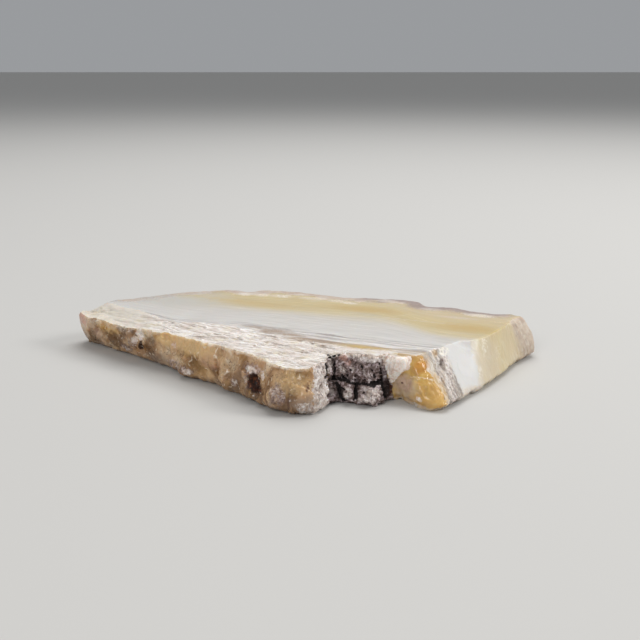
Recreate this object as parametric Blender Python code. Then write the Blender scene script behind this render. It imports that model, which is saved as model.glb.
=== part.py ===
"""A sawn slice of hokkaidoite, the yellow and white layered opal rock, as one solid.

The tables are in millimetres on a drawing whose y = 0 lies near the front corner; the mesh is in metres, +Z up.
The slice lies on its sawn underside. +X runs along its length and +Y towards the far rind, and the origin is
under the middle of its box.
"""

import math

import bmesh
import bpy
import numpy as np
from mathutils import Vector, geometry, noise

MM = 0.001

# Driving dimensions, in millimetres.
THICKNESS = 5.0            # between the two saw cuts
DRAWING_CENTRE = (-2.29, 17.33)  # the drawing's point that becomes the origin
NEAR_SPACING = 0.42        # between wall columns on the near side
FAR_SPACING = 0.85         # between wall columns on the far side
WALL_ROWS = 11             # steps from the rim down to the underside
CURL_START = 0.84          # share of the wall's height where its foot starts to curl under
CURL_DEPTH = 0.75          # how far the foot has curled under where it meets the surface below
CRUST_SPACING = 0.75       # between points of the rough crust on top
POLISH_SPACING = 5.0       # between points of the flat polished top
LEDGE_HEIGHT = 0.40        # of the fibrous ledges in the crust
LEDGE_LENGTH = 6.0
LEDGE_WIDTH = 1.1
LEDGE_SLOPE = 0.85         # how steeply the ledges run towards the front
RIM_LEDGE = 0.6            # share of a ledge's depth that reaches the rim
RIM_CLEARANCE = 0.36       # least distance from the rim to a point inside it

# The outline, counter-clockwise from the front corner. Each row is a station: the rim's x, y and z, the foot's
# x and y, and the skin of the wall there. Stations on the near side come first and last.
OUTLINE = [
    (-4.1, 0.4, 5.0, -4.8, 0.2, "waxy"),
    (-3.0, 0.0, 5.0, -3.2, -0.9, "waxy"),
    (-1.2, 0.0, 5.0, -1.6, -1.3, "waxy"),
    (-0.4, 0.9, 5.0, -0.2, -0.8, "sugary"),
    (0.5, 2.4, 5.0, 0.5, 0.8, "sugary"),
    (1.0, 4.0, 5.0, 1.2, 2.3, "broken"),
    (1.9, 5.1, 5.0, 2.2, 2.7, "broken"),
    (3.6, 4.8, 5.0, 3.6, 2.1, "broken"),
    (5.2, 4.4, 5.0, 5.2, 1.5, "broken"),
    (6.5, 4.3, 5.0, 6.4, 1.8, "broken"),
    (7.2, 4.8, 5.0, 7.2, 3.0, "broken"),
    (8.0, 4.0, 5.0, 8.3, 3.9, "glassy"),
    (9.2, 3.8, 5.0, 9.2, 2.8, "glassy"),
    (10.2, 4.0, 5.0, 10.3, 1.2, "glassy"),
    (11.1, 4.8, 5.0, 11.6, 0.3, "glassy"),
    (12.0, 6.0, 5.0, 12.9, 0.1, "glassy"),
    (13.2, 7.1, 5.0, 14.0, 1.3, "sawn"),
    (14.6, 8.8, 5.0, 15.2, 2.9, "sawn"),
    (15.9, 9.8, 5.0, 16.6, 4.9, "sawn"),
    (17.1, 10.0, 5.0, 18.1, 6.9, "sawn"),
    (18.9, 11.5, 5.0, 19.9, 9.8, "sawn"),
    (20.7, 14.1, 5.0, 21.8, 13.0, "sawn"),
    (22.4, 16.8, 5.0, 23.7, 16.5, "sawn"),
    (23.8, 19.5, 5.0, 25.2, 18.9, "end"),
    (25.1, 21.6, 4.9, 26.3, 21.1, "end"),
    (24.1, 22.7, 4.8, 25.3, 23.3, "end"),
    (21.5, 23.0, 4.9, 22.5, 24.2, "rind"),
    (19.3, 23.9, 5.0, 20.2, 25.0, "rind"),
    (17.3, 25.6, 5.0, 18.0, 26.6, "rind"),
    (14.0, 26.4, 5.0, 14.9, 27.5, "rind"),
    (12.9, 28.8, 5.0, 13.4, 29.6, "rind"),
    (10.0, 30.2, 5.0, 10.4, 31.0, "rind"),
    (7.0, 30.9, 5.0, 7.2, 31.7, "rind"),
    (3.3, 31.3, 5.0, 3.2, 32.2, "rind"),
    (1.0, 32.6, 5.0, 1.0, 33.3, "rind"),
    (-3.8, 34.8, 5.0, -3.6, 34.9, "rind"),
    (-8.4, 35.5, 5.0, -8.2, 35.2, "rind"),
    (-9.7, 34.7, 5.0, -9.7, 34.6, "rind"),
    (-11.0, 35.5, 5.0, -11.2, 35.3, "rind"),
    (-16.5, 35.0, 5.0, -16.9, 35.2, "rind"),
    (-20.9, 33.2, 5.0, -21.3, 33.4, "rind"),
    (-24.5, 31.0, 5.0, -25.0, 31.2, "rind"),
    (-27.4, 29.5, 5.0, -28.2, 30.0, "tip"),
    (-28.5, 28.3, 4.8, -29.6, 29.3, "tip"),
    (-29.4, 27.5, 4.15, -30.1, 28.5, "tip"),
    (-31.0, 27.0, 3.95, -30.5, 27.6, "tip"),
    (-30.4, 25.2, 4.0, -29.9, 26.3, "tip"),
    (-28.2, 23.0, 4.3, -28.5, 25.0, "waxy"),
    (-24.5, 19.4, 4.4, -24.9, 21.6, "waxy"),
    (-22.0, 17.4, 4.5, -22.3, 19.3, "waxy"),
    (-20.1, 16.0, 4.6, -20.4, 17.5, "waxy"),
    (-17.4, 14.0, 4.7, -17.7, 14.7, "waxy"),
    (-15.2, 11.9, 4.75, -15.7, 11.7, "waxy"),
    (-13.4, 10.3, 4.85, -13.7, 10.3, "waxy"),
    (-11.5, 8.7, 4.9, -11.9, 8.3, "waxy"),
    (-9.1, 6.6, 4.95, -9.5, 5.7, "waxy"),
    (-7.0, 4.3, 5.0, -7.4, 3.1, "waxy"),
    (-5.4, 2.4, 5.0, -6.0, 1.6, "waxy"),
]

# What each skin looks like: the size and height of its lumps and of its grain, how far the wall bellies out, and
# how far its rim is rounded.
SKINS = {
    "waxy": (2.8, 0.56, 1.0, 0.14, 0.30, 0.14),
    "sugary": (1.8, 0.36, 0.8, 0.22, 0.10, 0.10),
    "broken": (1.6, 0.60, 0.8, 0.24, 0.0, 0.05),
    "glassy": (3.0, 0.30, 1.2, 0.08, 0.15, 0.15),
    "sawn": (6.0, 0.12, 2.0, 0.03, 0.0, 0.05),
    "rind": (2.6, 0.38, 0.9, 0.09, 0.30, 0.30),
    "tip": (3.4, 0.22, 1.4, 0.06, 0.35, 0.28),
    "end": (3.0, 0.22, 1.2, 0.06, 0.45, 0.35),
}

# Landmarks of the near wall: x, height, half width along the wall, half height, and how far each stands out.
LANDMARKS = [
    (-26.6, 1.9, 1.2, 1.3, -0.35),   # shallow brown hollow by the tip
    (-22.7, 3.0, 0.7, 1.9, 0.50),    # pale knob
    (-21.2, 1.3, 0.9, 1.1, -0.45),   # hollow beside it
    (-17.3, 1.1, 1.0, 1.0, 0.30),    # drusy patches at the foot
    (-15.6, 0.9, 0.9, 0.8, 0.35),
    (-10.6, 2.2, 0.9, 2.2, 0.22),
    (-7.6, 3.2, 1.0, 0.9, 0.30),     # pale lip of the brown pit
    (-6.9, 2.0, 0.8, 0.9, -0.55),    # brown pit
    (-4.5, 1.7, 0.9, 1.3, 0.42),     # pink knob
    (1.2, 1.3, 0.9, 0.9, -0.70),     # dark hole at the notch's foot
    (4.1, 3.6, 2.2, 0.8, 0.40),      # upper block of the notch
    (5.2, 1.3, 1.3, 1.1, 0.50),      # lower block
    (2.7, 1.2, 0.8, 0.9, 0.20),
    (7.0, 2.2, 0.6, 2.4, -0.50),     # cleft at the notch's right end
    (8.5, 4.1, 1.3, 1.2, 0.60),      # pale drip
    (7.9, 2.9, 0.6, 0.7, 0.30),
    (10.6, 3.8, 0.9, 0.8, 0.32),     # orange knob
    (11.2, 1.6, 2.2, 1.5, 0.10),     # amber boss
    (13.3, 3.4, 0.5, 2.0, -0.25),    # groove between the fibrous bands
    (16.2, 3.2, 1.5, 1.7, 0.28),     # white facet
]

# Fissures of the notch: the x and height of both ends, half width and depth.
FISSURES = [
    (1.5, 5.0, 1.6, 2.4, 0.34, 0.65),
    (0.9, 2.5, 6.6, 2.4, 0.34, 0.60),
    (1.8, 2.1, 2.7, 0.3, 0.32, 0.45),
    (3.9, 2.3, 3.7, 0.4, 0.32, 0.40),
]

# The polished top ends along this line, from the left tip to the notch; between it and the rim lies the crust.
CRUST_EDGE = [
    (-31.5, 29.4), (-28.2, 28.6), (-23.3, 23.2), (-17.5, 18.3), (-14.4, 16.8), (-10.7, 15.9), (-6.9, 15.5), (-4.6, 13.2),
    (-2.3, 11.1), (1.1, 8.4), (2.7, 6.2),
]


def hermite_loop(stations, spacing_of):
    """Points along the smooth closed curve through the stations, a row of numbers each, with their own spacing."""
    count = len(stations)
    chord = [math.dist(stations[i][:2], stations[(i + 1) % count][:2]) for i in range(count)]
    slopes = []
    for i in range(count):
        before, here, after = stations[i - 1], stations[i], stations[(i + 1) % count]
        into, out = chord[i - 1], chord[i]
        slopes.append((here - before) / into - (after - before) / (into + out) + (after - here) / out)
    points = []
    for i in range(count):
        start, end = stations[i], stations[(i + 1) % count]
        span = chord[i]
        steps = max(1, round(span / spacing_of(i)))
        for step in range(steps):
            t = step / steps
            points.append(
                (2 * t**3 - 3 * t**2 + 1) * start
                + (t**3 - 2 * t**2 + t) * span * slopes[i]
                + (3 * t**2 - 2 * t**3) * end
                + (t**3 - t**2) * span * slopes[(i + 1) % count]
            )
    return np.array(points)


def smoothstep(low, high, value):
    t = min(1.0, max(0.0, (value - low) / (high - low)))
    return t * t * (3 - 2 * t)


def lumpy(point, size, octaves=3):
    """Rounded lumps of about the given size, mostly from -0.7 to 0.7."""
    return noise.fractal(Vector(point) / size, 0.9, 2.1, octaves)


def faceted(point, size):
    """Flat facets of about the given size, each with its own tilt, stepped where they meet."""
    place = Vector(point) / size
    centre = noise.voronoi(place)[1][0]
    return noise.cell_vector(centre * 7.3).dot(place - centre)


def wall_columns():
    """The rim, the foot, the outward direction and the skin's six numbers of each column of the wall."""
    rows = np.array([[*station[:5], *SKINS[station[5]]] for station in OUTLINE])
    first_far = next(i for i, station in enumerate(OUTLINE) if station[1] > 22.0)
    last_far = max(i for i, station in enumerate(OUTLINE) if station[1] > 28.0)

    def spacing_of(i):
        return FAR_SPACING if first_far <= i <= last_far else NEAR_SPACING

    samples = hermite_loop(rows, spacing_of)
    rim, foot, skin = samples[:, :3], samples[:, 3:5], samples[:, 5:]
    rim[:, 2] = np.minimum(rim[:, 2], THICKNESS)
    rim[:, 2] -= [RIM_LEDGE * ledge_depth(point) if is_crust(point) else 0.0 for point in rim[:, :2]]
    along = np.roll(rim[:, :2], -1, axis=0) - np.roll(rim[:, :2], 1, axis=0)
    outward = np.stack([along[:, 1], -along[:, 0]], axis=1)
    outward /= np.linalg.norm(outward, axis=1, keepdims=True)
    return rim, foot, outward, skin


def plain_wall(rim, foot, share):
    """A point of the wall before any relief, share of the way down from the rim to the underside."""
    slope = min(1.0, share / CURL_START)
    return np.array([*(rim[:2] + (foot - rim[:2]) * slope), rim[2] * (1 - share)])


def landmark_places(rim, foot, outward):
    """Where each landmark's middle lies on the near wall."""
    near = [i for i in range(len(rim)) if outward[i][1] < 0]
    places = []
    for x, height, *_ in LANDMARKS:
        on_wall = [plain_wall(rim[i], foot[i], 1 - height / rim[i][2]) for i in near]
        places.append(min(on_wall, key=lambda place: abs(place[0] - x)))
    return places


def landmark_relief(place, places):
    """How far the landmarks push the wall out at a point of it."""
    push = 0.0
    for middle, (_, _, half_width, half_height, height) in zip(places, LANDMARKS):
        along = math.dist(place[:2], middle[:2]) / half_width
        up = (place[2] - middle[2]) / half_height
        push += height * (1 - smoothstep(0.4, 1.15, math.hypot(along, up)))
    return push


def fissure_relief(place):
    """How far the fissures draw the wall of the notch in at a point of it."""
    push = 0.0
    for start_x, start_z, end_x, end_z, half_width, depth in FISSURES:
        gap = distance_to_line(place[[0, 2]], [(start_x, start_z), (end_x, end_z)])
        push -= depth * (1 - smoothstep(0.3, 1.0, gap / half_width))
    return push


def wall_point(rim, foot, outward, skin, share, places):
    """A point of the finished wall, share of the way down from the rim to the underside."""
    lump_size, lump_height, grain_size, grain_height, belly, rounding = skin
    place = plain_wall(rim, foot, share)
    upright = place * (1, 1, 0.55)
    push = belly * math.sin(math.pi * share)
    push -= rounding * max(0.0, 1 - share * THICKNESS / (1.6 * rounding)) ** 2
    push -= CURL_DEPTH * max(0.0, (share - CURL_START) / (1 - CURL_START)) ** 2
    push += lump_height * (0.7 * lumpy(upright, lump_size) + 0.6 * faceted(upright, lump_size * 0.8))
    push += grain_height * lumpy(place + 40.0, grain_size)
    if outward[1] < 0:
        push += landmark_relief(place, places)
        push += fissure_relief(place)
    place[:2] += outward * push
    return place


def distance_to_line(point, line):
    """The distance from a point to an open line of straight pieces."""
    nearest = math.inf
    for start, end in zip(line, line[1:]):
        start, end = np.array(start), np.array(end)
        piece = end - start
        t = np.clip(np.dot(point - start, piece) / np.dot(piece, piece), 0.0, 1.0)
        nearest = min(nearest, np.linalg.norm(point - (start + t * piece)))
    return nearest


def is_crust(point):
    """Whether a point of the top lies on the near side of the line where the polish ends."""
    for start, end in zip(CRUST_EDGE, CRUST_EDGE[1:]):
        if start[0] <= point[0] < end[0]:
            share = (point[0] - start[0]) / (end[0] - start[0])
            return point[1] < start[1] + share * (end[1] - start[1])
    return False


def ledge_depth(point):
    """How far the long fibrous ledges lie below the polish at a point; they fade out towards the polish."""
    across = (point[1] + LEDGE_SLOPE * point[0]) / LEDGE_WIDTH
    lump = lumpy((point[0] / LEDGE_LENGTH, across, 0.0), 1.0)
    return LEDGE_HEIGHT * smoothstep(0.0, 1.2, distance_to_line(point, CRUST_EDGE)) * (0.5 + 0.5 * lump)


def crust_height(point, rim_points):
    """The height of the top at a point of the crust: it dips towards the rim, in long fibrous ledges."""
    gaps = np.linalg.norm(rim_points[:, :2] - point, axis=1)
    nearest = int(gaps.argmin())
    rim_place = rim_points[nearest, :2]
    rim_ledge = RIM_LEDGE * ledge_depth(rim_place) if is_crust(rim_place) else 0.0
    from_edge = distance_to_line(point, CRUST_EDGE)
    share = from_edge / (from_edge + gaps[nearest] + 1e-6)
    dip = (THICKNESS - rim_points[nearest, 2] - rim_ledge) * share
    return THICKNESS - dip - ledge_depth(point)


def points_inside(rim):
    """Points of a triangular grid inside the rim: close together in the crust, and far apart where it is polished."""
    low, high = rim[:, :2].min(axis=0), rim[:, :2].max(axis=0)
    found = []
    for spacing, wanted in ((CRUST_SPACING, True), (POLISH_SPACING, False)):
        row_height = spacing * math.sqrt(0.75)
        for row in range(int((high[1] - low[1]) / row_height) + 1):
            for column in range(int((high[0] - low[0]) / spacing) + 1):
                point = low + np.array([(column + 0.5 * (row % 2)) * spacing, row * row_height])
                if is_crust(point) != wanted or not inside(point, rim):
                    continue
                if np.linalg.norm(rim[:, :2] - point, axis=1).min() > RIM_CLEARANCE:
                    found.append(point)
    found += [np.array(point) for point in CRUST_EDGE[2:-1]]
    return found


def inside(point, rim):
    """Whether a point lies inside the rim, by counting crossings to its right."""
    x, y = rim[:, 0], rim[:, 1]
    next_x, next_y = np.roll(x, -1), np.roll(y, -1)
    spans = (y > point[1]) != (next_y > point[1])
    crossing = x[spans] + (point[1] - y[spans]) / (next_y[spans] - y[spans]) * (next_x[spans] - x[spans])
    return bool(np.count_nonzero(crossing > point[0]) % 2)


def triangulate(loop, extra):
    """Triangles over a closed loop of flat points and the extra points inside it, as indices into both."""
    flat = [Vector(point[:2]) for point in loop] + [Vector(point) for point in extra]
    border = list(range(len(loop)))
    _, _, faces, sources, _, _ = geometry.delaunay_2d_cdt(flat, [], [border], 1, 1e-5)
    return [[sources[corner][0] for corner in face] for face in faces]


def make_slice():
    """The whole slice as one closed mesh object."""
    rim, foot, outward, skin = wall_columns()
    places = landmark_places(rim, foot, outward)
    shares = [row / WALL_ROWS for row in range(WALL_ROWS + 1)]
    rings = [
        np.array([wall_point(*column, share, places) for column in zip(rim, foot, outward, skin)])
        for share in shares
    ]
    rings[0][:, 2] = rim[:, 2]
    rings[-1][:, 2] = 0.0

    crust = points_inside(rings[0])
    tops = [[*point, crust_height(point, rings[0]) if is_crust(point) else THICKNESS] for point in crust]

    body = bmesh.new()
    centre = np.array([*DRAWING_CENTRE, 0.0])
    ring_verts = [[body.verts.new(Vector((point - centre) * MM)) for point in ring] for ring in rings]
    top_verts = ring_verts[0] + [body.verts.new(Vector((np.array(point) - centre) * MM)) for point in tops]
    count = len(rim)
    for upper, lower in zip(ring_verts, ring_verts[1:]):
        for i in range(count):
            j = (i + 1) % count
            body.faces.new((upper[i], lower[i], lower[j], upper[j]))
    for corners in triangulate(rings[0], crust):
        body.faces.new([top_verts[corner] for corner in corners])
    for corners in triangulate(rings[-1], []):
        body.faces.new([ring_verts[-1][corner] for corner in reversed(corners)])
    bmesh.ops.triangulate(body, faces=[face for face in body.faces if len(face.verts) > 3])
    bmesh.ops.recalc_face_normals(body, faces=body.faces)

    mesh = bpy.data.meshes.new("hokkaidoite_slice")
    body.to_mesh(mesh)
    body.free()
    slab = bpy.data.objects.new("hokkaidoite_slice", mesh)
    bpy.context.scene.collection.objects.link(slab)
    mesh.shade_smooth()
    mesh.set_sharp_from_angle(angle=math.radians(38))
    return slab


def layered_opal():
    """Cream opal with a waxy shine."""
    material = bpy.data.materials.new("layered_opal")
    material.use_nodes = True
    shader = material.node_tree.nodes["Principled BSDF"]
    shader.inputs["Base Color"].default_value = (0.62, 0.50, 0.33, 1.0)
    shader.inputs["Roughness"].default_value = 0.38
    shader.inputs["IOR"].default_value = 1.45
    return material


for old in list(bpy.data.objects):
    bpy.data.objects.remove(old)
slice_of_stone = make_slice()
slice_of_stone.data.materials.append(layered_opal())
print(f"hokkaidoite_slice: {len(slice_of_stone.data.polygons)} triangles")
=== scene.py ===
import math

import bpy
import numpy as np
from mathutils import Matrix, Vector, geometry, noise


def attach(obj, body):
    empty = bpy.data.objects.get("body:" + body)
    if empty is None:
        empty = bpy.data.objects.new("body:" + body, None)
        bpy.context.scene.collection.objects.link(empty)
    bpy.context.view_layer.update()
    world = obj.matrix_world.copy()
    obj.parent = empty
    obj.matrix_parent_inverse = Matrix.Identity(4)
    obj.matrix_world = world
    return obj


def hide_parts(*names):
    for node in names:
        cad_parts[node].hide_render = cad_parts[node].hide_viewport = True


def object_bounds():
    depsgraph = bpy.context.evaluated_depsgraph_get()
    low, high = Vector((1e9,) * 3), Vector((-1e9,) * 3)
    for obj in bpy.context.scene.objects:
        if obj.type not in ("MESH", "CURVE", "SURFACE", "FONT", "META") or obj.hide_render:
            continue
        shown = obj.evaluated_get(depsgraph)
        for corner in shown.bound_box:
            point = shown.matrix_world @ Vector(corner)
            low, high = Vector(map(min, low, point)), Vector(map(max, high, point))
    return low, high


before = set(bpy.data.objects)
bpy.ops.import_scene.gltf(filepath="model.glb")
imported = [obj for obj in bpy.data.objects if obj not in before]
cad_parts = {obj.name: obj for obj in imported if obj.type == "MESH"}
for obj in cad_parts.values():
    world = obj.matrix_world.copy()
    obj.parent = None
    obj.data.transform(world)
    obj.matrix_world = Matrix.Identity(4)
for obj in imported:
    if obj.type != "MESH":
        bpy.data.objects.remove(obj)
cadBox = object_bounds()
mm = 0.001  # lengths below are in millimetres on the drawing, where y = 0 lies near the front corner

slab = {
    "thickness": 5.0,              # between the two saw cuts
    "drawingCentre": (-2.29, 17.33),  # the drawing's point that is the origin
    "nearSpacing": 0.11,           # between wall columns on the near side
    "farSpacing": 0.20,            # and on the far side
    "wallRows": 47,
    "crustSpacing": 0.12,          # between points of the rough crust on top
    "crustMargin": 0.4,            # how far those points reach past the crust's finish
    "crustEnd": 8.0,               # and up to which x
    "polishSpacing": 0.5,          # between points of the polished top
    "undersideSpacing": 1.5,
    "curlStart": 0.84,             # share of the wall's height where its foot curls under
    "curlDepth": 0.75,
    "ledgeHeight": 0.40,           # of the fibrous ledges in the crust
    "ledgeLength": 6.0,
    "ledgeWidth": 1.1,
    "ledgeSlope": 0.85,            # how steeply the ledges run towards the front
    "rimLedge": 0.6,               # share of a ledge's depth that reaches the rim
    "sharpAngle": 55,              # degrees between faces, from which an edge is sharp
}

# Rim x, y, z, foot x, y and skin, counter-clockwise from the front corner.
outlineStations = [
    (-4.1, 0.4, 5.0, -4.8, 0.2, "waxy"), (-3.0, 0.0, 5.0, -3.2, -0.9, "waxy"),
    (-1.2, 0.0, 5.0, -1.6, -1.3, "waxy"), (-0.4, 0.9, 5.0, -0.2, -0.8, "sugary"),
    (0.5, 2.4, 5.0, 0.5, 0.8, "sugary"), (1.0, 4.0, 5.0, 1.2, 2.3, "broken"),
    (1.9, 5.1, 5.0, 2.2, 2.7, "broken"), (3.6, 4.8, 5.0, 3.6, 2.1, "broken"),
    (5.2, 4.4, 5.0, 5.2, 1.5, "broken"), (6.5, 4.3, 5.0, 6.4, 1.8, "broken"),
    (7.2, 4.8, 5.0, 7.2, 3.0, "broken"), (8.0, 4.0, 5.0, 8.3, 3.9, "glassy"),
    (9.2, 3.8, 5.0, 9.2, 2.8, "glassy"), (10.2, 4.0, 5.0, 10.3, 1.2, "glassy"),
    (11.1, 4.8, 5.0, 11.6, 0.3, "glassy"), (12.0, 6.0, 5.0, 12.9, 0.1, "glassy"),
    (13.2, 7.1, 5.0, 14.0, 1.3, "sawn"), (14.6, 8.8, 5.0, 15.2, 2.9, "sawn"),
    (15.9, 9.8, 5.0, 16.6, 4.9, "sawn"), (17.1, 10.0, 5.0, 18.1, 6.9, "sawn"),
    (18.9, 11.5, 5.0, 19.9, 9.8, "sawn"), (20.7, 14.1, 5.0, 21.8, 13.0, "sawn"),
    (22.4, 16.8, 5.0, 23.7, 16.5, "sawn"), (23.8, 19.5, 5.0, 25.2, 18.9, "end"),
    (25.1, 21.6, 4.9, 26.3, 21.1, "end"), (24.1, 22.7, 4.8, 25.3, 23.3, "end"),
    (21.5, 23.0, 4.9, 22.5, 24.2, "rind"), (19.3, 23.9, 5.0, 20.2, 25.0, "rind"),
    (17.3, 25.6, 5.0, 18.0, 26.6, "rind"), (14.0, 26.4, 5.0, 14.9, 27.5, "rind"),
    (12.9, 28.8, 5.0, 13.4, 29.6, "rind"), (10.0, 30.2, 5.0, 10.4, 31.0, "rind"),
    (7.0, 30.9, 5.0, 7.2, 31.7, "rind"), (3.3, 31.3, 5.0, 3.2, 32.2, "rind"),
    (1.0, 32.6, 5.0, 1.0, 33.3, "rind"), (-3.8, 34.8, 5.0, -3.6, 34.9, "rind"),
    (-8.4, 35.5, 5.0, -8.2, 35.2, "rind"), (-9.7, 34.7, 5.0, -9.7, 34.6, "rind"),
    (-11.0, 35.5, 5.0, -11.2, 35.3, "rind"), (-16.5, 35.0, 5.0, -16.9, 35.2, "rind"),
    (-20.9, 33.2, 5.0, -21.3, 33.4, "rind"), (-24.5, 31.0, 5.0, -25.0, 31.2, "rind"),
    (-27.4, 29.5, 5.0, -28.2, 30.0, "tip"), (-28.5, 28.3, 4.85, -29.6, 29.3, "tip"),
    (-29.4, 27.5, 4.45, -30.1, 28.5, "tip"), (-31.0, 27.0, 4.25, -30.5, 27.6, "tip"),
    (-30.4, 25.2, 4.15, -29.9, 26.3, "tip"), (-28.2, 23.0, 4.3, -28.5, 25.0, "waxy"),
    (-24.5, 19.4, 4.4, -24.9, 21.6, "waxy"), (-22.0, 17.4, 4.5, -22.3, 19.3, "waxy"),
    (-20.1, 16.0, 4.6, -20.4, 17.5, "waxy"), (-17.4, 14.0, 4.7, -17.7, 14.7, "waxy"),
    (-15.2, 11.9, 4.75, -15.7, 11.7, "waxy"), (-13.4, 10.3, 4.85, -13.7, 10.3, "waxy"),
    (-11.5, 8.7, 4.9, -11.9, 8.3, "waxy"), (-9.1, 6.6, 4.95, -9.5, 5.7, "waxy"),
    (-7.0, 4.3, 5.0, -7.4, 3.1, "waxy"), (-5.4, 2.4, 5.0, -6.0, 1.6, "waxy"),
]

# Each skin's lump size and height, grain size and height, belly, and how far the rim is rounded.
skins = {
    "waxy": (2.8, 0.56, 1.0, 0.14, 0.30, 0.14),
    "sugary": (1.8, 0.36, 0.8, 0.22, 0.10, 0.10),
    "broken": (1.6, 0.60, 0.8, 0.24, 0.0, 0.05),
    "glassy": (3.0, 0.30, 1.2, 0.08, 0.15, 0.15),
    "sawn": (6.0, 0.12, 2.0, 0.03, 0.0, 0.05),
    "rind": (2.6, 0.38, 0.9, 0.09, 0.30, 0.30),
    "tip": (3.4, 0.22, 1.4, 0.06, 0.35, 0.28),
    "end": (3.0, 0.22, 1.2, 0.06, 0.45, 0.35),
}
skinNames = list(skins)

# Landmarks of the near wall: x, height, half width, half height, and how far each stands out.
landmarks = [
    (-26.6, 1.9, 1.2, 1.3, -0.35), (-22.7, 3.0, 0.7, 1.9, 0.50), (-21.3, 1.6, 0.7, 1.1, -0.60),
    (-17.3, 1.1, 1.0, 1.0, 0.30), (-15.6, 0.9, 0.9, 0.8, 0.35), (-10.6, 2.2, 0.9, 2.2, 0.22),
    (-7.6, 3.2, 1.0, 0.9, 0.36), (-6.9, 2.2, 0.8, 1.0, -0.80), (-4.5, 1.7, 0.9, 1.3, 0.42),
    (1.2, 1.3, 0.9, 0.9, -0.70), (4.1, 3.6, 2.2, 0.8, 0.40), (5.2, 1.3, 1.3, 1.1, 0.50),
    (2.7, 1.2, 0.8, 0.9, 0.20), (7.0, 2.2, 0.6, 2.4, -0.50), (8.5, 4.1, 1.3, 1.2, 0.60),
    (7.9, 2.9, 0.6, 0.7, 0.30), (10.6, 3.8, 0.9, 0.8, 0.18), (11.2, 1.6, 2.2, 1.5, 0.10),
    (13.3, 3.4, 0.5, 2.0, -0.25), (16.2, 3.2, 2.2, 2.4, 0.16),
]

# Fissures of the notch: x and height of both ends, half width and depth.
fissures = [
    (1.5, 5.0, 1.6, 2.4, 0.22, 0.50),
    (0.9, 2.5, 6.6, 2.4, 0.20, 0.45),
    (1.8, 2.1, 2.7, 0.3, 0.24, 0.40),
    (3.9, 2.3, 3.7, 0.4, 0.20, 0.30),
]

# The polished top ends along this line; between it and the rim lies the crust.
crustEdge = np.array([
    (-31.5, 29.4), (-28.2, 28.6), (-23.3, 23.2), (-17.5, 18.3), (-14.4, 16.8), (-10.7, 15.9),
    (-6.9, 15.5), (-4.6, 13.2), (-2.3, 11.1), (1.1, 8.4), (2.7, 6.2),
])
# The crust's finish reaches a little further, up to this line.
crustLine = np.array([
    (-31.0, 29.4), (-28.3, 28.7), (-26.6, 27.2), (-25.0, 25.4), (-23.3, 24.2), (-20.5, 21.2), (-19.3, 19.4),
    (-18.2, 18.4), (-16.3, 18.0), (-14.6, 17.9), (-12.7, 17.4), (-10.8, 16.4), (-8.9, 14.9), (-6.8, 13.4),
    (-4.6, 12.0), (-2.3, 10.5), (1.1, 8.6), (2.7, 7.8), (5.5, 6.8), (8.7, 5.8),
])


def hermiteLoop(stations, spacingOf):  # the smooth closed curve through the stations
    count = len(stations)
    chord = [math.dist(stations[i][:2], stations[(i + 1) % count][:2]) for i in range(count)]
    slopes = []
    for i in range(count):
        before, here, after = stations[i - 1], stations[i], stations[(i + 1) % count]
        into, out = chord[i - 1], chord[i]
        slopes.append((here - before) / into - (after - before) / (into + out) + (after - here) / out)
    points = []
    for i in range(count):
        start, end = stations[i], stations[(i + 1) % count]
        steps = max(1, round(chord[i] / spacingOf(i)))
        for step in range(steps):
            t = step / steps
            points.append(
                (2 * t**3 - 3 * t**2 + 1) * start
                + (t**3 - 2 * t**2 + t) * chord[i] * slopes[i]
                + (3 * t**2 - 2 * t**3) * end
                + (t**3 - t**2) * chord[i] * slopes[(i + 1) % count]
            )
    return np.array(points)


def smoothstep(low, high, values):
    t = np.clip((values - low) / (high - low), 0.0, 1.0)
    return t * t * (3 - 2 * t)


def inSizes(points, size):  # the size is one for all the points, or one for each
    return points / np.reshape(size, (-1, 1)) if np.ndim(size) == 1 else points / size


# Rounded lumps of that size, mostly from -0.7 to 0.7. A number added to the points gives another pattern.
def rough(points, size, octaves=3):
    return np.array([noise.fractal(Vector(p), 0.9, 2.1, octaves) for p in inSizes(points, size)])


def stretched(points, sizes, octaves=3):  # the same, with a size of its own along each axis
    return rough(points / np.array(sizes), 1.0, octaves)


def facets(points, size):  # flat facets, each with its own tilt
    found = []
    for p in inSizes(points, size):
        place = Vector(p)
        centre = noise.voronoi(place)[1][0]
        found.append(noise.cell_vector(centre * 7.3).dot(place - centre))
    return np.array(found)


def grains(points, size):  # distance to the nearest grain's middle, in grain sizes
    return np.array([noise.voronoi(Vector(p))[0][0] for p in points / size])


def distanceToLine(points, line):
    nearest = np.full(len(points), np.inf)
    for start, end in zip(line, line[1:]):
        piece = end - start
        t = np.clip((points - start) @ piece / (piece @ piece), 0.0, 1.0)
        nearest = np.minimum(nearest, np.linalg.norm(points - (start + t[:, None] * piece), axis=1))
    return nearest


def inside(points, loop):  # counts crossings to the right of each point
    odd = np.zeros(len(points), bool)
    for (startX, startY), (endX, endY) in zip(loop, np.roll(loop, -1, axis=0)):
        if startY == endY:
            continue
        spans = (startY > points[:, 1]) != (endY > points[:, 1])
        crossing = startX + (points[:, 1] - startY) / (endY - startY) * (endX - startX)
        odd ^= spans & (crossing > points[:, 0])
    return odd


def isCrust(points):
    edgeY = np.interp(points[:, 0], crustEdge[:, 0], crustEdge[:, 1])
    between = (points[:, 0] >= crustEdge[0, 0]) & (points[:, 0] < crustEdge[-1, 0])
    return between & (points[:, 1] < edgeY)


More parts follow.
